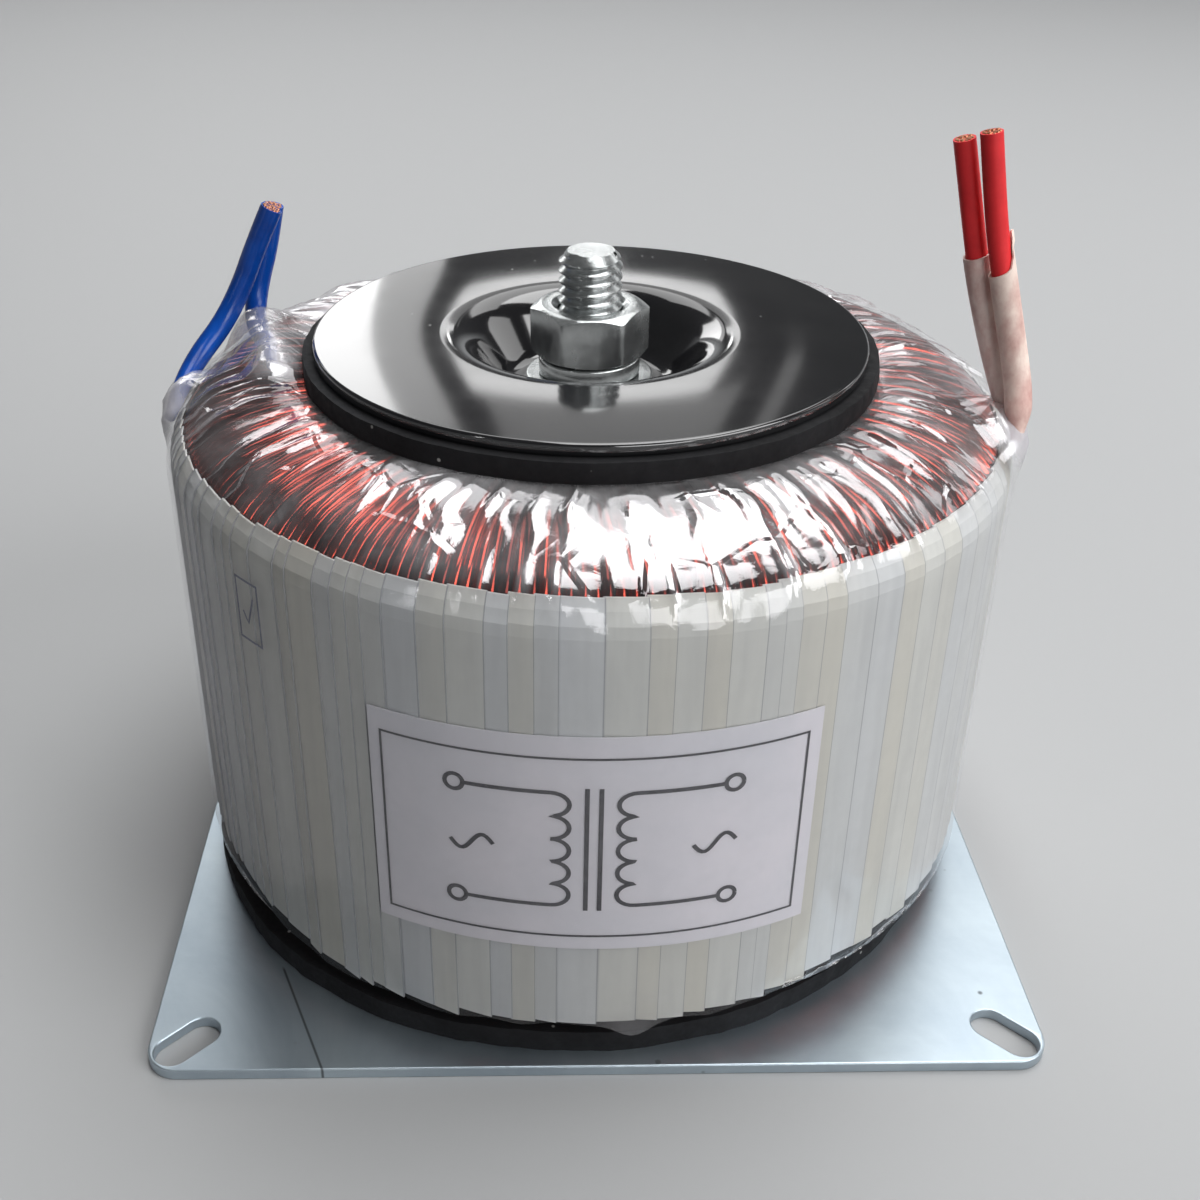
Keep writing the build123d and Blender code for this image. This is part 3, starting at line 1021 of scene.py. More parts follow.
    def stroke(self, line: Sequence[tuple[float, float]], width: float) -> bpy.types.Object:
        """A printed stroke on the label.

        Args:
            line: distance round the band and height of each of its points, in millimetres.
            width: its width, in millimetres.

        Returns:
            A flat ribbon, a little over the paper.
        """
        corners = np.array(line)
        gone = run_along(corners)
        steps = np.unique(np.concatenate([gone, np.arange(0, gone[-1], 1.2)]))
        path = np.column_stack([np.interp(steps, gone, corners[:, 0]), np.interp(steps, gone, corners[:, 1])])
        way = np.gradient(path, axis=0)
        way /= np.linalg.norm(way, axis=1)[:, None]
        side = np.column_stack([-way[:, 1], way[:, 0]])
        ribbon = added(bpy.ops.mesh.primitive_grid_add, "stroke", x_subdivisions=len(path) - 1,
                       y_subdivisions=1, size=1)
        flat = points_of(ribbon)
        step = np.rint((flat[:, 0] + 0.5) * (len(path) - 1)).astype(int)
        spot = path[step] + side[step] * (flat[:, 1:2] * width)
        put_points(ribbon, round_places(self.ink_radius, spot[:, 0] / self.radius, spot[:, 1]))
        return ribbon


@dataclass
class FilmWrap:
    """Clear film wound over the whole ring: tight on the side, crumpled and pleated on the shoulder."""

    toroid: Toroid
    roots: list[Root]
    steps: int = 840
    side_radius: float = 52.92
    side_heights: tuple[float, ...] = (59.0, 57.5, 56.0, 54, 51, 48, 44, 40, 36, 32, 28, 24, 20, 17, 14, 12,
                                       10, 8.6, 7.4)
    seed: int = 5
    drip: float = 0.35
    fold: tuple[float, float] = (276.5, 2.6)
    fold_height: float = 12.6
    fold_lift: float = 0.6
    corner: float = 274.0
    # Milky colour on the folded lower corner, a painted highlight for its glints.
    corner_glint_milk: float = 0.13
    corner_drop: float = 1.5
    band_gap: float = 7.2

    def outline(self) -> list[tuple[float, float]]:
        """The film's section, from under the top pad down to its lower edge."""
        top = [(35.2, 68.44), (36.2, 68.62), (37.3, 68.72)]
        shoulder = [self.toroid.shoulder(angle, 0.18) for angle in np.linspace(80, 36, 17)]
        lip = [(50.35, 64.5), (50.95, 64.0), (51.5, 63.2), (51.95, 62.3), (52.4, 61.2), (52.75, 60.2)]
        return top + shoulder + lip + [(self.side_radius, height) for height in self.side_heights]

    def build(self) -> None:
        """Makes the film and dresses it."""
        outline = self.outline()
        film = spun(drawn("clear_wrap", outline, closed=False), self.steps, 180)
        points = points_of(film)
        radius, height = off_axis(points) / MM, points[:, 2] / MM
        section = np.array(outline)
        apart = (radius[:, None] - section[:, 0]) ** 2 + (height[:, None] - section[:, 1]) ** 2
        level = np.argmin(apart, axis=1)
        along = run_along(section)[level]
        tangent = np.gradient(section, axis=0)
        normal = np.column_stack([-tangent[:, 1], tangent[:, 0]])
        normal = (normal / np.linalg.norm(normal, axis=1)[:, None])[level]
        angle = bearing(points)
        around = (angle / TURN) % 1.0
        drips = self.drips(around, along)
        fold = self.facing(around, *self.fold) * np.exp(-((height - self.fold_height) ** 2))
        lift = self.crumples(around, along) + self.drip * drips + self.fold_lift * fold
        outward = np.column_stack([normal[:, 0] * np.cos(angle), normal[:, 0] * np.sin(angle), normal[:, 1]])
        # The drips' milky colour is a painted highlight; their lift and extra layers are shape and
        # reflection.
        milk = self.cloudiness(around, along) + self.drip * drips
        # Painted highlight: milky colour on the film's folded lower corner, in place of the glints that it
        # catches.
        milk = milk + self.corner_glint_milk * self.facing(around, self.corner, 4) * ramped(-height, -10.5, -8.5)
        step = np.rint(around * self.steps).astype(int) % self.steps
        for root in self.roots:
            tent, cloudy = root.tent(points / MM, outward)
            tent = self.bridged(tent, step, level)
            lift = np.maximum(lift, tent + 0.45 * lift * ramped(tent, 0.0, 0.4))
            milk = np.maximum(milk, cloudy)
        write_attribute(film, "milk", milk)
        drop = self.ragged(around) * (level == len(outline) - 1)
        lifted = height + normal[:, 1] * lift + drop
        put_points(film, round_places(radius + normal[:, 0] * lift, angle, lifted))
        shoulder = 1 - ramped(along, 13.5, 18.0)
        layers = 0.5 + 0.85 * shoulder + 0.5 * shoulder * rolling(around, along / 30, (46, 3), 31)
        layers += shoulder * (1.5 * self.facing(around, 281, 30) - 0.45 * self.facing(around, 208, 34))
        layers += 2.5 * drips + 2.0 * fold
        write_attribute(film, "layers", np.clip(layers, 0.5, 3.0))
        finish_piece(film, ClearFilm().material())

    def bridged(self, tent: np.ndarray, step: np.ndarray, level: np.ndarray) -> np.ndarray:
        """Eases a tent into the film round it, as film bridges a corner.

        Args:
            tent: how far each vertex is lifted.
            step: the vertex's place round the ring, in steps.
            level: its place along the section, in points.

        Returns:
            The eased lift of each vertex.
        """
        count = level.max() + 1
        sheet = np.zeros((self.steps, count))
        sheet[step, level] = tent
        for _ in range(2):
            sides = (np.roll(sheet, 1, 0) + np.roll(sheet, -1, 0)) / 2
            ends = (sheet[:, [0, *range(count - 1)]] + sheet[:, [*range(1, count), -1]]) / 2
            sheet = np.maximum(sheet, (sides + ends) / 2) * 0.5 + (sides + ends) / 4
        return sheet[step, level]

    def crumples(self, around: np.ndarray, along: np.ndarray) -> np.ndarray:
        """How far the film stands off: pleats that run outwards, facets between them, a calm side.

        Args:
            around: place round the ring, 0 to 1.
            along: distance from the inner edge over the shoulder, in millimetres.

        Returns:
            Millimetres out from the film's section, never negative.
        """
        across = np.clip(along / 90.0, 0, 1)
        shoulder = 1 - ramped(along, 17.5, 26.0)
        tucked = ramped(along, 1.0, 3.6)
        sway = around + 0.0035 * rolling(around, across * 3, (40, 8), self.seed)
        front = self.facing(around, 277, 34)
        broad = 0.40 * creased(sway % 1, across, (70, 11), self.seed + 1) * front
        broad = broad + 0.16 * creased((sway + 0.003) % 1, across, (150, 22), self.seed + 7) * front
        long = 0.17 * creased(sway % 1, across, (118, 3), self.seed + 6) * (1 - front)
        middle = (0.06 + 0.07 * front) * creased((sway + 0.002) % 1, across, (200, 6), self.seed + 2)
        fine = 0.03 * creased(around, across, (260, 26), self.seed + 3)
        pleats = np.zeros_like(around)
        rng = np.random.default_rng(self.seed)
        for _ in range(150):
            centre, width = rng.uniform(0, 1), rng.uniform(0.35, 1.1) / (TURN * 46)
            reach, depth, lean = rng.uniform(10, 30), rng.uniform(0.12, 0.5), rng.uniform(-0.006, 0.006)
            off = (sway - centre - lean * along / 20 + 0.5) % 1 - 0.5
            pleats += depth * np.exp(-np.abs(off) / width) * (1 - ramped(along, reach * 0.4, reach))
        calm = 0.04 * creased(sway % 1, across, (130, 4), self.seed + 4)
        calm = calm + 0.03 * rolling(around, across, (150, 6), self.seed + 5)
        lift = shoulder * (0.3 + broad + long + middle + fine) + (1 - shoulder) * (0.06 + calm) + pleats
        return np.maximum(lift * tucked, 0.0)

    def facing(self, around: np.ndarray, degrees: float, width: float) -> np.ndarray:
        """How near each place is to a bearing: 1 at it, fading over a width in degrees."""
        off = ((around - degrees / 360 + 0.5) % 1 - 0.5) * 360 / width
        return np.exp(-(off**2))

    def drips(self, around: np.ndarray, along: np.ndarray) -> np.ndarray:
        """Thin runs of film over the band's upper edge, most of them at the front right: lifted, more
        reflective, and given milky colour as a painted highlight.
        """
        run = ramped(creased(around, along / 200, (330, 2), self.seed + 15), 0.5, 0.85)
        lip = np.exp(-(((along - 15.5) / 2.6) ** 2))
        return run * lip * (0.15 + 0.85 * self.facing(around, 292, 36))

    def cloudiness(self, around: np.ndarray, along: np.ndarray) -> np.ndarray:
        """How milky the film is: streaks along the wires, more of them to the right and behind."""
        shoulder = 1 - ramped(along, 13.0, 19.0)
        sides = 0.03 + 0.20 * self.facing(around, 10, 62) + 0.22 * self.facing(around, 95, 50)
        sides = sides + 0.36 * self.facing(around, 148, 28) + 0.16 * self.facing(around, 240, 28)
        streaks = 0.5 + 0.5 * rolling(around, along / 90, (150, 4), self.seed + 12)
        return shoulder * sides * (0.35 + 0.9 * streaks)

    def ragged(self, around: np.ndarray) -> np.ndarray:
        """How far the film's lower edge strays from level."""
        degrees = around * 360
        band = Band(self.toroid)
        follow = np.array([band.lower_edge(angle) for angle in degrees]) - self.band_gap
        corner = self.corner_drop * self.facing(around, self.corner, 2.4)
        return follow - corner + 0.5 * creased(around, around * 0, (90, 1), self.seed + 9)


@dataclass
class Clamp:
    """Top disc, rubber pads, washers, nut and threaded bolt."""

    disc_radius: float = 34.2
    disc_top: float = 72.5
    sheet: float = 1.5
    floor_radius: float = 10.5
    rim_radius: float = 15.7
    dish_depth: float = 7.2
    bolt_hole: float = 4.2
    bolt_radius: float = 4.0
    bolt_end: float = 82.5
    pitch: float = 1.25
    nut: tuple[float, float] = (69.4, 75.9)
    washer: tuple[float, float] = (65.3, 66.9)
    spring: tuple[float, float] = (66.9, 69.4)
    across_flats: float = 13.0
    washer_turn: float = 346.0
    pad_bulge_at: float = 226.0
    pad_bulge: float = 1.3
    pad_shift: float = 0.9

    def build(self) -> None:
        """Makes all the pieces and dresses them."""
        zinc = ZincBright().material()
        rubber = Rubber().material()
        finish_piece(self.disc(), BlackEnamel().material(), ["top_disc"])
        finish_piece(self.top_pad(), rubber, ["top_pad"])
        finish_piece(self.bottom_pad(), rubber, ["bottom_pad"])
        finish_piece(self.threaded_bolt(), zinc, ["centre_bolt"])
        finish_piece(self.hexagon_nut(), zinc, ["hex_nut"])
        low, high = self.washer
        ring = [(8.0, low), (8.0, high), (self.bolt_hole, high), (self.bolt_hole, low)]
        finish_piece(lathed("plain_washer", eased(ring, [0.25, 0.3, 0.1, 0.1]), 96), zinc,
                     ["flat_washer"])
        finish_piece(self.split_washer(), zinc, ["spring_washer"])

    def disc(self) -> bpy.types.Object:
        """The pressed disc with its dish for the nut."""
        floor = self.disc_top - self.dish_depth
        slope = math.atan2(self.dish_depth, self.rim_radius - self.floor_radius)
        shift = -self.sheet * math.tan(slope / 2)
        upper = [(self.bolt_hole, floor), (self.floor_radius, floor), (self.rim_radius, self.disc_top),
                 (self.disc_radius, self.disc_top)]
        low = self.disc_top - self.sheet
        under = floor - self.sheet
        lower = [(self.disc_radius, low), (self.rim_radius - shift, low), (self.floor_radius - shift, under),
                 (self.bolt_hole, under)]
        section = eased(upper + lower, [0, 1.6, 3.0, 0.5, 0.4, 3.4, 2.4, 0], 8)
        return lathed("enamelled_disc", section, 288, 40)

    def hand_cut(self, piece: bpy.types.Object, inner: float, depth: float, cells: int, seed: int) -> None:
        """Makes a round pad's outer edge as uneven as a knife leaves it.

        Args:
            piece: the pad.
            inner: radius within which nothing moves.
            depth: how far the edge wanders, in millimetres.
            cells: bends round the edge.
            seed: picks the pattern.
        """
        points = points_of(piece)
        radius = off_axis(points) / MM
        around = (bearing(points) / TURN) % 1.0
        level = points[:, 2] / 0.08
        wander = 0.6 * creased(around, level, (cells, 6), seed)
        wander = wander + 0.4 * creased(around, level, (cells * 4, 9), seed + 1)
        put_points(piece, widened(points, 1 - (radius > inner) * depth * (0.5 + 0.5 * wander) / radius))

    def top_pad(self) -> bpy.types.Object:
        """The rubber ring under the disc."""
        hole = self.rim_radius + 2.6
        ring = [(35.75, 68.52), (35.8, 69.3), (35.8, 70.2), (35.7, 70.98), (hole, 71.0), (hole, 68.5)]
        pad = lathed("upper_pad", ring, 240, 25)
        self.hand_cut(pad, 30.0, 0.35, 70, 41)
        return pad

    def bottom_pad(self) -> bpy.types.Object:
        """The rubber ring under the winding, laid a little off centre."""
        hole = self.rim_radius + 2.6
        ring = [(51.3, 1.5), (51.4, 2.1), (51.4, 3.0), (51.4, 3.9), (51.3, 4.5), (hole, 4.5), (hole, 1.5)]
        pad = lathed("lower_pad", ring, 300, 25)
        self.hand_cut(pad, 40.0, 0.7, 46, 43)
        points = points_of(pad)
        radius = off_axis(points) / MM
        outside = ramped(radius, 30.0, 45.0)
        off = (np.degrees(bearing(points)) - self.pad_bulge_at + 180) % 360 - 180
        wide = self.pad_bulge * np.exp(-((off / 34) ** 2)) * outside / radius
        points = widened(points, 1 + wide)
        points[:, 0] -= self.pad_shift * MM * outside
        put_points(pad, points)
        return pad

    def split_washer(self) -> bpy.types.Object:
        """The split spring washer, pressed almost flat."""
        low, high = self.spring
        bottom, top = low + 0.15, high - 0.15
        section = eased([(6.35, bottom), (6.35, top), (4.1, top), (4.1, bottom)], [0.3] * 4)
        ring = drawn("lock_washer", section)
        with editing(ring):
            bpy.ops.mesh.edge_face_add()
            turn = math.radians(self.washer_turn)
            bpy.ops.mesh.spin(steps=90, angle=turn, center=(0, 0, 0), axis=(0, 0, 1))
            merge_and_turn_out()
        points = points_of(ring)
        angle = bearing(points) % TURN
        lean = (points[:, 2] / MM - (low + high) / 2) * 0.10
        share = np.clip(angle / turn, 0, 1) - 0.5
        turned = angle + lean * np.abs(share) * 2 + math.radians(70)
        radius = off_axis(points)
        height = points[:, 2] + share * 0.28 * MM
        put_points(ring, np.column_stack([radius * np.cos(turned), radius * np.sin(turned), height]))
        return smoothed(ring, 40)

    def hexagon_bar(self, name: str, low: float, high: float, outline: Outline) -> bpy.types.Object:
        """A hexagon bar with rounded long edges, cut to a turned outline.

        Args:
            name: name of the piece.
            low: height of its lower end.
            high: height of its upper end.
            outline: section of the turned body that it is cut to.

        Returns:
            The piece, one flat towards the label.
        """
        corner = self.across_flats / math.sqrt(3)
        bar = added(bpy.ops.mesh.primitive_cylinder_add, name, vertices=6, radius=corner * MM,
                    depth=(high - low) * MM, location=(0, 0, (high + low) / 2 * MM),
                    rotation=(0, 0, math.radians(30)))
        settle(bar)
        with editing(bar):
            bpy.ops.mesh.select_all(action="DESELECT")
            bpy.ops.object.mode_set(mode="OBJECT")
            for edge in bar.data.edges:
                ends = [bar.data.vertices[index].co for index in edge.vertices]
                edge.select = abs(ends[0].z - ends[1].z) > MM
            bpy.ops.object.mode_set(mode="EDIT")
            bpy.ops.mesh.select_mode(type="EDGE")
            bpy.ops.mesh.bevel(offset=0.55 * MM, segments=5, affect="EDGES")
        body = lathed("body", outline, 120, 30)
        apply_modifier(bar, "BOOLEAN", operation="INTERSECT", object=body, solver="EXACT")
        bpy.data.objects.remove(body)
        return smoothed(bar, 24)

    def hexagon_nut(self) -> bpy.types.Object:
        """The nut, chamfered at both ends."""
        low, high = self.nut
        flat, corner = self.across_flats / 2, 7.6
        drop = (corner - flat + 0.35) * math.tan(math.radians(30))
        outline = [(flat - 0.35, low), (corner, low + drop), (corner, high - drop), (flat - 0.35, high),
                   (4.7, high), (4.05, high - 0.65), (4.05, low + 0.65), (4.7, low)]
        outline = eased(outline, [0.5, 0, 0, 0.5, 0.12, 0, 0, 0])
        return self.hexagon_bar("hexagon_nut", low - 0.5, high + 0.5, outline)

    def threaded_bolt(self) -> bpy.types.Object:
        """The bolt: its head in the plate's dish, its shank, and a thread up to its chamfered end."""
        root, crest = self.bolt_radius - 0.72, self.bolt_radius - 0.02
        start, pitch = 60.0, self.pitch
        profile = [(root, start), (root, start + 0.14), (crest, start + 0.54), (crest, start + 0.71),
                   (root, start + pitch)]
        thread = drawn("thread", profile, closed=False)
        turns = int((self.bolt_end - start) / pitch) + 2
        apply_modifier(thread, "SCREW", angle=TURN, screw_offset=pitch * MM, iterations=turns, steps=48,
                       render_steps=48, axis="Z", use_merge_vertices=True, merge_threshold=MERGED)
        with editing(thread):
            bpy.ops.mesh.remove_doubles(threshold=MERGED)
            bpy.ops.mesh.bisect(plane_co=(0, 0, self.bolt_end * MM), plane_no=(0, 0, 1), use_fill=True,
                                clear_outer=True)
            bpy.ops.mesh.select_all(action="SELECT")
            bpy.ops.mesh.bisect(plane_co=(0, 0, (start + 1.5) * MM), plane_no=(0, 0, 1), use_fill=True,
                                clear_inner=True)
            bpy.ops.mesh.select_all(action="SELECT")
            bpy.ops.mesh.normals_make_consistent(inside=False)
        points = points_of(thread)
        radius = off_axis(points) / MM
        limit = self.bolt_radius - 0.1 - np.maximum(points[:, 2] / MM - (self.bolt_end - 1.0), 0)
        put_points(thread, widened(points, np.minimum(radius, limit) / np.maximum(radius, 1e-6)))
        smoothed(thread, 38)
        shank = lathed("shank", [(0.01, 7.4), (self.bolt_radius, 7.4), (self.bolt_radius, start + 1.2),
                                 (root, start + 1.6), (0.01, start + 1.6)], 64)
        head_body = [(0.01, 2.2), (6.3, 2.2), (7.6, 2.95), (7.6, 7.5), (0.01, 7.5)]
        head = self.hexagon_bar("head", 2.0, 7.5, head_body)
        return joined("threaded_bolt", [thread, shank, head])


@dataclass
class Plate:
    """The square mounting plate, its sheared edges eased, with the dish for the bolt's head."""

    side: float = 107.0
    sheet: float = 1.5
    corner: float = 4.0
    slot_spacing: float = 98.0
    slot_length: float = 8.5
    slot_width: float = 4.5
    dish_height: float = 7.5
    dish_hole: float = 22.0
    floor_radius: float = 10.5
    rim_radius: float = 15.7
    bolt_hole: float = 4.2
    ease: float = 0.2

    def build(self) -> None:
        """Makes the sheet with its slots and the pressed dish, and dresses them."""
        top, floor = self.sheet, self.sheet + self.dish_height
        slope = math.atan2(self.dish_height, self.rim_radius - self.floor_radius)
        shift = self.sheet * math.tan(slope / 2)
        flange = self.dish_hole + self.ease + 0.01
        upper = [(self.bolt_hole, floor), (self.floor_radius, floor), (self.rim_radius, top), (flange, top)]
        under = floor - self.sheet
        lower = [(flange, 0.0), (self.rim_radius - shift, 0.0), (self.floor_radius - shift, under),
                 (self.bolt_hole, under)]
        dish = lathed("dish", eased(upper + lower, [0, 2.4, 2.4, 0, 0, 1.7, 1.6, 0], 8), 144, 40)
        plate = smoothed(joined("mounting_plate", [self.slotted_sheet(), dish]), 50)
        apply_modifier(plate, "WEIGHTED_NORMAL", mode="FACE_AREA", weight=100, keep_sharp=True)
        finish_piece(plate, ZincSheet().material(), ["base_plate"])

    def slotted_sheet(self) -> bpy.types.Object:
        """The flat sheet with its corner slots and the hole that the dish fills."""
        half, straight = self.side / 2 - self.corner, self.slot_length / 2 - self.slot_width / 2
        corners = [(half, half), (-half, half), (-half, -half), (half, -half)]
        outlines = [self.rounded(corners, self.corner, 0)]
        reach = self.slot_spacing / math.sqrt(2)
        for quarter in range(4):
            turn = 45 + 90 * quarter
            way = Vector((math.cos(math.radians(turn)), math.sin(math.radians(turn))))
            ends = [tuple(way * (reach + straight)), tuple(way * (reach - straight))]
            outlines.append(self.rounded(ends, self.slot_width / 2, turn - 90))
        angles = [TURN * step / 144 for step in range(144)]
        hole = self.dish_hole
        outlines.append([(hole * math.cos(angle), hole * math.sin(angle)) for angle in angles])
        curve = bpy.data.curves.new("sheet", "CURVE")
        curve.dimensions = "2D"
        curve.fill_mode = "BOTH"
        curve.extrude = (self.sheet / 2 - self.ease) * MM
        curve.bevel_depth = self.ease * MM
        curve.bevel_resolution = 2
        curve.offset = -self.ease * MM
        for outline in outlines:
            spline = curve.splines.new("POLY")
            spline.points.add(len(outline) - 1)
            for point, (x, y) in zip(spline.points, outline):
                point.co = (x * MM, y * MM, 0, 1)
            spline.use_cyclic_u = True
        sheet = linked("sheet", curve)
        sheet.location = (0, 0, self.sheet / 2 * MM)
        use(sheet)
        bpy.ops.object.convert(target="MESH")
        sheet = bpy.context.object
        settle(sheet)
        with editing(sheet):
            merge_and_turn_out()
        return sheet

    def rounded(self, centres: Sequence[tuple[float, float]], radius: float, first: float,
                parts: int = 14) -> list[tuple[float, float]]:
        """Arcs round a few centres, joined by straight lines.

        Args:
            centres: centres of the arcs, counter-clockwise.
            radius: radius of the arcs.
            first: angle in degrees at which the first arc starts.
            parts: edges in each arc.

        Returns:
            Points of the closed outline.
        """
        step = 360 / len(centres)
        outline = []
        for index, (x, y) in enumerate(centres):
            for part in range(parts + 1):
                angle = math.radians(first + step * (index + part / parts))
                outline.append((x + radius * math.cos(angle), y + radius * math.sin(angle)))
        return outline


@dataclass
class Root:
    """The start of a lead, where it leaves the winding under the film."""

    line: np.ndarray
    radius: float
    milk: float
    most: float
    slope: float = 0.62

    def tent(self, points: np.ndarray, normals: np.ndarray) -> tuple[np.ndarray, np.ndarray]:
        """How the film stands over this root.

        Args:
            points: the film's vertices before they are lifted, in millimetres.
            normals: the film's outward direction at each of them.

        Returns:
            For each vertex, how far it is lifted and how milky it is.
        """
        lift, milk = np.zeros(len(points)), np.zeros(len(points))
        near = np.linalg.norm(points - self.line.mean(axis=0), axis=1) < 25
        for order, place in enumerate(self.line):
            away = place - points[near]
            proud = np.einsum("ij,ij->i", away, normals[near])
            aside = np.linalg.norm(away - proud[:, None] * normals[near], axis=1)
            size = self.radius * min(1.0, 0.5 + order / len(self.line))
            ridge = np.clip(proud + size + 0.15, 0, self.most) * (proud > -3)
            fall = self.slope * np.maximum(aside - 0.7 * self.radius, 0)
            lift[near] = np.maximum(lift[near], ridge - fall)
            fade = 1 - 0.6 * order / len(self.line)
            milk[near] = np.maximum(milk[near], self.milk * fade * (1 - ramped(aside, self.radius, 4.5)))
        return lift, milk


class Insulation(Enum):
    """The two kinds of lead."""

    BLUE = LeadPlastic("blue_insulation", (0.004, 0.062, 0.34), (0.002, 0.034, 0.21), 0.22, 0.3)
    RED = LeadPlastic("red_insulation", (0.86, 0.036, 0.042), (0.68, 0.024, 0.030), 0.5, 0.35)


@dataclass
class Lead:
    """One insulated lead with its cut end."""

    name: str
    node: str
    slot: str
    route: Route
    diameter: float
    length: float
    jacket: float = 0.0

    def line(self) -> bpy.types.Object:
        """The lead's curve, a smooth line over the route's points."""
        curve = bpy.data.curves.new(self.name, "CURVE")
        curve.dimensions = "3D"
        spline = curve.splines.new("NURBS")
        spline.points.add(len(self.route) - 1)
        for point, place, share in zip(spline.points, self.route, (0.5, 0.8, *[1.0] * len(self.route))):
            point.co = (*(value * MM for value in place), 1)
            point.radius = share
        spline.order_u = 3
        spline.use_endpoint_u = True
        spline.resolution_u = 16
        curve.resolution_u = 16
        return linked(self.name, curve)

    def followed(self) -> np.ndarray:
        """Points along the lead's own line."""
        line = self.line()
        mesh = bpy.data.meshes.new_from_object(line)
        flat = np.empty(len(mesh.vertices) * 3)
        mesh.vertices.foreach_get("co", flat)
        bpy.data.objects.remove(line)
        return flat.reshape(-1, 3)

    def root(self, reach: float, milk: float, most: float) -> Root:
        """The part of the lead that the film covers.

        Args:
            reach: its length, in millimetres.
            milk: how milky the film is over its start.
            most: how far it can lift the film, in millimetres.

        Returns:
            The root's line and thickness.
        """
        points = self.followed() / MM
        return Root(points[run_along(points) <= reach], self.diameter / 2 + self.jacket, milk, most)

    def strands(self) -> bpy.types.Object:
        """The copper strands seen in the cut end."""
        points = self.followed()
        end, way = Vector(points[-1]), (Vector(points[-1]) - Vector(points[-3])).normalized()
        turn = Vector((0, 0, 1)).rotation_difference(way).to_matrix().to_4x4()
        strand = self.diameter * 0.085 * MM
        first = added(bpy.ops.mesh.primitive_cylinder_add, "strand", vertices=10, radius=strand,
                      depth=1.2 * MM)
        with editing(first):
            bpy.ops.mesh.bevel(offset=strand * 0.2, segments=1, affect="EDGES")
        base = points_of(smoothed(first, 40))
        rng = np.random.default_rng(3)
        copies = []
        places = [(0.0, 0.0)] + [(1.0, 60.0 * k) for k in range(6)] + [(1.95, 30.0 * k) for k in range(12)]
        for ring, angle in places:
            across = ring * strand * 2.05
            place = Vector((across * math.cos(math.radians(angle)), across * math.sin(math.radians(angle)),
                            rng.uniform(-0.6, -0.42) * MM))
            matrix = Matrix.Translation(end) @ turn @ Matrix.Translation(place)
            moved = base @ np.array(matrix.to_3x3()).T + np.array(matrix.translation)
            copies.append(copied(first, moved))
        bpy.data.objects.remove(first)
        return joined(self.name + "_strands", copies)

    def build(self, copper: bpy.types.Material, plastic: bpy.types.Material,
              on_it: Sequence[bpy.types.Object] = ()) -> bpy.types.Object:
        """Args:
            copper: material of the strands.
            plastic: material of the insulation.
            on_it: separate pieces that lie along the lead; not used.

        Returns:
            The lead.
        """
        strands = finish_piece(self.strands(), copper)
        lead = self.line()
        lead.data.bevel_depth = self.diameter / 2 * MM
        lead.data.bevel_resolution = 7
        lead.data.use_fill_caps = True
        finish_piece(lead, plastic, [self.node])
        return lead

    def sleeve(self, name: str, node: str, top: float, milky: Colour, slant: float,
               wing: float) -> bpy.types.Object:
        """A thin sleeve over the lower part of the lead.

        Args:
            name: name of the sleeve.
            node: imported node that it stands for.
            top: height at which it ends, in millimetres.
            milky: its colour.
            slant: how much higher its mouth is on the right.
            wing: how far a tongue of it stands up at the right.

        Returns:
            The sleeve, a tube with an open top.
        """
        points = self.followed()
        kept = points[points[:, 2] < top * MM]
        gone = np.linalg.norm(kept - kept[0], axis=1) / MM
        curve = bpy.data.curves.new(name, "CURVE")
        curve.dimensions = "3D"
        spline = curve.splines.new("POLY")
        spline.points.add(len(kept) - 1)
        spline.points.foreach_set("co", np.column_stack([kept, np.ones(len(kept))]).ravel())
        spline.points.foreach_set("radius", 0.45 + 0.55 * ramped(gone, 0.0, 4.0))
        curve.bevel_depth = (self.diameter / 2 + self.jacket) * MM
        curve.bevel_resolution = 7
        use(linked(name, curve))
        bpy.ops.object.convert(target="MESH")
        sleeve = bpy.context.object
        tube = points_of(sleeve)
        off = tube - kept[-1]
        way = kept[-1] - kept[-3]
        way /= np.linalg.norm(way)
        right = np.clip(off[:, 0] / curve.bevel_depth, -1, 1)
        mouth = 1 - ramped(np.abs(off @ way) / MM, 0.2, 1.4)
        rise = (slant * right + wing * np.maximum(right, 0) ** 4) * mouth
        put_points(sleeve, tube + rise[:, None] * way * MM)
        apply_modifier(sleeve, "SOLIDIFY", thickness=0.22 * MM, offset=-1.0)
        smoothed(sleeve, 50)
        return finish_piece(sleeve, SleeveFilm(name, milky).material(), [node])


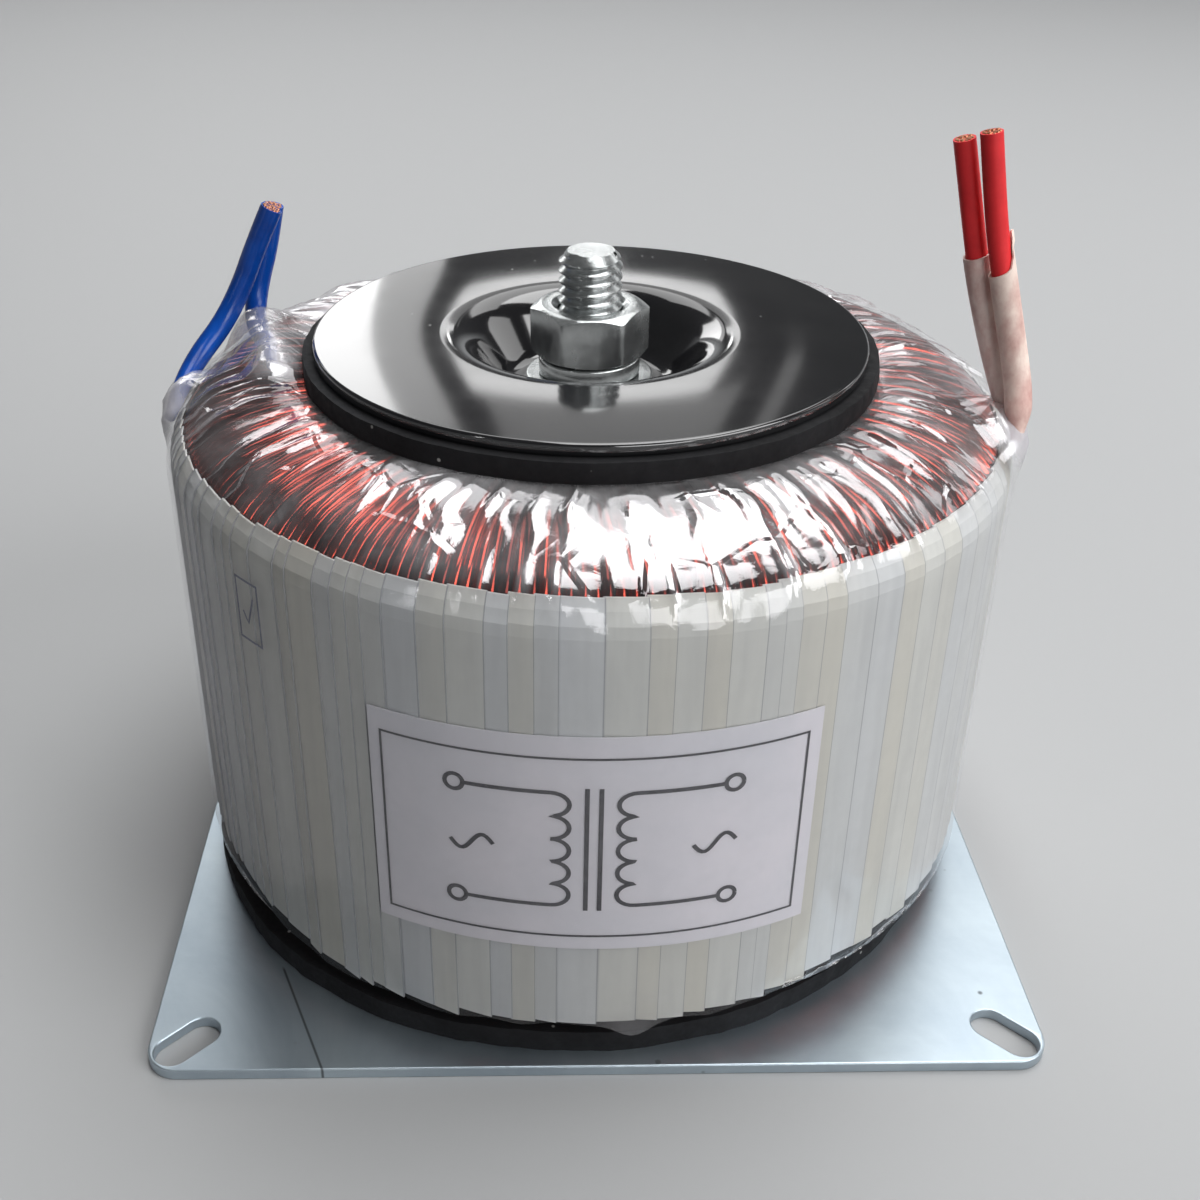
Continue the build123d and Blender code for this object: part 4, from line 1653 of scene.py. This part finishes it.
@dataclass
class Leads:
    """The four flying leads, and the roots of them that lie under the film."""

    roots: list[Root] = field(default_factory=list)

    def build(self) -> None:
        """Makes the leads with their sleeves and cut ends."""
        copper = PlainStock("bare_copper", (0.62, 0.27, 0.15), (0.42, 0.17, 0.09), 0.3, 1.0, 0.01).material()
        blue, red = Insulation.BLUE.value.material(), Insulation.RED.value.material()
        front = Lead("blue_front", "blue_lead_front", "blue_pvc", (
            (-52.1, -5.4, 63.2), (-51.7, -0.7, 64.8), (-50.0, 4.3, 67.3), (-46.9, 8.1, 70.6),
            (-44.3, 9.7, 75.2), (-42.2, 9.9, 80.1), (-39.8, 10.1, 84.9)), 2.8, 33.0)
        front.build(copper, blue)
        rear = Lead("blue_rear", "blue_lead_rear", "blue_pvc", (
            (-38.9, -5.0, 69.9), (-39.9, 0.4, 69.7), (-41.8, 6.3, 69.3), (-43.6, 11.4, 69.8),
            (-43.0, 13.6, 74.0), (-41.2, 13.3, 79.3), (-40.1, 13.1, 84.4)), 2.8, 32.2)
        rear.build(copper, blue)
        left = Lead("red_left", "red_lead_left", "red_pvc", (
            (50.1, -14.1, 65.2), (48.7, -12.2, 69.0), (46.6, -11.1, 75.0), (44.2, -11.0, 82.2),
            (42.4, -11.1, 89.0), (41.2, -11.0, 94.0), (40.1, -11.1, 98.3)), 2.5, 35.1, 0.33)
        # One sleeve film in two colours: the left sleeve darker as painted shade, the right one lighter as
        # painted light.
        milky_shaded_left, milky_lit_right = (0.90, 0.77, 0.71), (0.98, 0.81, 0.72)
        over_left = left.sleeve("sleeve_left", "red_sleeve_left", 85.6, milky_shaded_left, 0.1, 0.0)
        left.build(copper, red, [over_left])
        right = Lead("red_right", "red_lead_right", "red_pvc", (
            (49.2, -17.9, 65.2), (49.5, -15.7, 69.4), (48.5, -14.2, 74.4), (46.7, -13.8, 80.8),
            (44.7, -13.6, 87.8), (43.3, -13.7, 94.0), (42.2, -13.6, 99.6)), 2.5, 36.0, 0.33)
        over_right = right.sleeve("sleeve_right", "red_sleeve_right", 84.3, milky_lit_right, 0.4, 4.6)
        right.build(copper, red, [over_right])
        self.roots = [front.root(6.5, 0.7, 2.2), rear.root(16.3, 0.5, 4.3), left.root(3.8, 0.75, 2.6),
                      right.root(4.2, 0.75, 2.6)]


@dataclass
class Inside:
    """Core, wrap, inner winding and film, which the outer winding hides."""

    def build(self) -> None:
        """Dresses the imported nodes, whose shape is right as it is."""
        film = PlainStock("inner_film", (0.78, 0.74, 0.60), (0.70, 0.66, 0.52), 0.3, scale=90)
        dressed = {
            "core": PlainStock("core_steel", (0.33, 0.34, 0.36), (0.22, 0.23, 0.25), 0.35, 1.0, scale=200),
            "core_wrap": film,
            "primary_winding": PlainStock("inner_wire", (0.30, 0.08, 0.04), (0.14, 0.03, 0.02), 0.3, 1.0),
            "interwinding_film": film,
        }
        for node, finish in dressed.items():
            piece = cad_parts[node]
            material = bpy.data.materials.get(finish.name) or finish.material()
            piece.data.materials.clear()
            piece.data.materials.append(material)
            LOG.info("dressed %s", node)


@dataclass
class Studio:
    """Pale floor and surround, soft lamps, and the camera at the photograph's viewing angle."""

    eye: tuple[float, float, float] = (-0.008447, -0.173773, 0.137320)
    yaw: float = 0.817
    pitch: float = 30.209
    lens: float = 44.137
    shift: tuple[float, float] = (0.0486, -0.0153)
    pale: Colour = (0.93, 0.95, 0.97)
    ambient: float = 0.065
    wall: float = 0.52
    ceiling: float = 0.085
    wall_ends: tuple[float, float] = (0.10, 0.24)

    def build(self) -> None:
        """Makes floor, surround, lamps and camera."""
        self.floor()
        self.surround()
        self.lamp("overhead", (0.16, 0.12, 0.75), (0.46, 0.66), (0.0, 0.0, -1.0), 5.4)
        self.lamp("overhead_rear", (0.125, 0.74, 0.75), (0.77, 0.58), (0.0, 0.0, -1.0), 1.95)
        self.lamp("key", (1.0, -0.55, 0.70), (0.8, 0.7), (-1.0, 0.55, -0.64), 5.6)
        self.lamp("front_fill", (0.52, -1.22, 0.45), (0.7, 0.5), (-0.52, 1.22, -0.38), 5.7)
        self.lamp("left_strip", (-0.85, -0.85, 0.42), (0.025, 0.5), (0.85, 0.85, -0.35), 13.0)
        self.lamp("right_panel", (0.95, 0.42, 0.52), (0.5, 0.5), (-0.95, -0.42, -0.45), 2.0)
        self.lamp("window", (-0.37, 1.0, 0.46), (0.46, 0.36), (0, -1, 0), 3.8)
        self.lamp("window_edge", (-0.11, 1.0, 0.46), (0.06, 0.36), (0, -1, 0), 1.2)
        self.lamp("wall_light", (0.07, 1.0, 0.62), (0.22, 0.26), (0, -1, 0), 0.58)
        self.lamp("blind", (0.225, 1.0, 0.62), (0.02, 0.30), (0, -1, 0), 0.5)
        self.lamp("nut_glow", (0.05, 1.0, 0.46), (0.2, 0.07), (0, -1, 0), 2.6)
        self.lamp("stud_glow", (0.05, 1.0, 0.39), (0.036, 0.06), (0, -1, 0), 6.0)
        self.camera()
        bpy.context.scene.view_settings.view_transform = "Standard"

    def floor(self) -> None:
        """A large pale floor, level with the plate's underside."""
        floor = added(bpy.ops.mesh.primitive_plane_add, "floor", size=6)
        floor.data.materials.append(Nodes("pale_floor").surface((0.38, 0.385, 0.39), 0.65))
        floor.visible_diffuse = False

    def surround(self) -> None:
        """A pale world that lights softly and shows in what is polished."""
        nodes = Nodes("surround", "worlds")
        bpy.context.scene.world = nodes.owner
        rays = nodes.node("LightPath").outputs
        seen = rays["Is Camera Ray"]
        for name in ("Is Glossy Ray", "Is Transmission Ray"):
            seen = nodes.step("MAXIMUM", seen, rays[name])
        way = nodes.node("TexCoord").outputs["Generated"]
        height = nodes.node("SeparateXYZ", {0: way}).outputs[2]
        shown = nodes.remap(height, self.wall_ends, (self.wall, self.ceiling))
        strength = nodes.node("MapRange", {"Value": seen, "To Min": self.ambient, "To Max": shown}).outputs[0]
        pale = nodes.node("Background", {"Color": (*self.pale, 1), "Strength": strength})
        nodes.node("OutputWorld", {"Surface": pale.outputs[0]})

    def lamp(self, name: str, place: tuple[float, float, float], size: tuple[float, float],
             facing: tuple[float, float, float], radiance: float) -> None:
        """Adds a soft rectangular lamp.

        Args:
            name: the lamp's name.
            place: its middle, in metres.
            size: its width and height, in metres.
            facing: the way that its face looks.
            radiance: how bright its face is, where a white surface in plain light is 1.
        """
        data = bpy.data.lights.new(name, "AREA")
        data.shape = "RECTANGLE"
        data.size, data.size_y = size
        data.energy = radiance * math.pi * size[0] * size[1]
        lamp = linked(name, data)
        lamp.location = place
        lamp.rotation_euler = (-Vector(facing)).to_track_quat("Z", "Y").to_euler()
        lamp.visible_camera = False

    def camera(self) -> None:
        """The camera, fitted to the plate, the disc and the winding."""
        data = bpy.data.cameras.new("camera")
        data.sensor_width = 36.0
        data.lens = self.lens
        data.shift_x, data.shift_y = self.shift
        data.clip_start, data.clip_end = 0.01, 20
        camera = linked("camera", data)
        camera.location = self.eye
        yaw, pitch = math.radians(self.yaw), math.radians(self.pitch)
        ahead = Vector((math.sin(yaw) * math.cos(pitch), math.cos(yaw) * math.cos(pitch), -math.sin(pitch)))
        camera.rotation_euler = ahead.to_track_quat("-Z", "Y").to_euler()
        bpy.context.scene.camera = camera


def main() -> None:
    """Builds the transformer from its inside out, then the studio round it."""
    logging.basicConfig(level=logging.INFO, format="%(message)s")
    toroid = Toroid()
    Studio().build()
    leads = Leads()
    leads.build()
    Inside().build()
    Windings(toroid).build()
    Band(toroid).build()
    Papers().build()
    Plate().build()
    Clamp().build()
    FilmWrap(toroid, leads.roots).build()


if __name__ == "__main__":
    main()
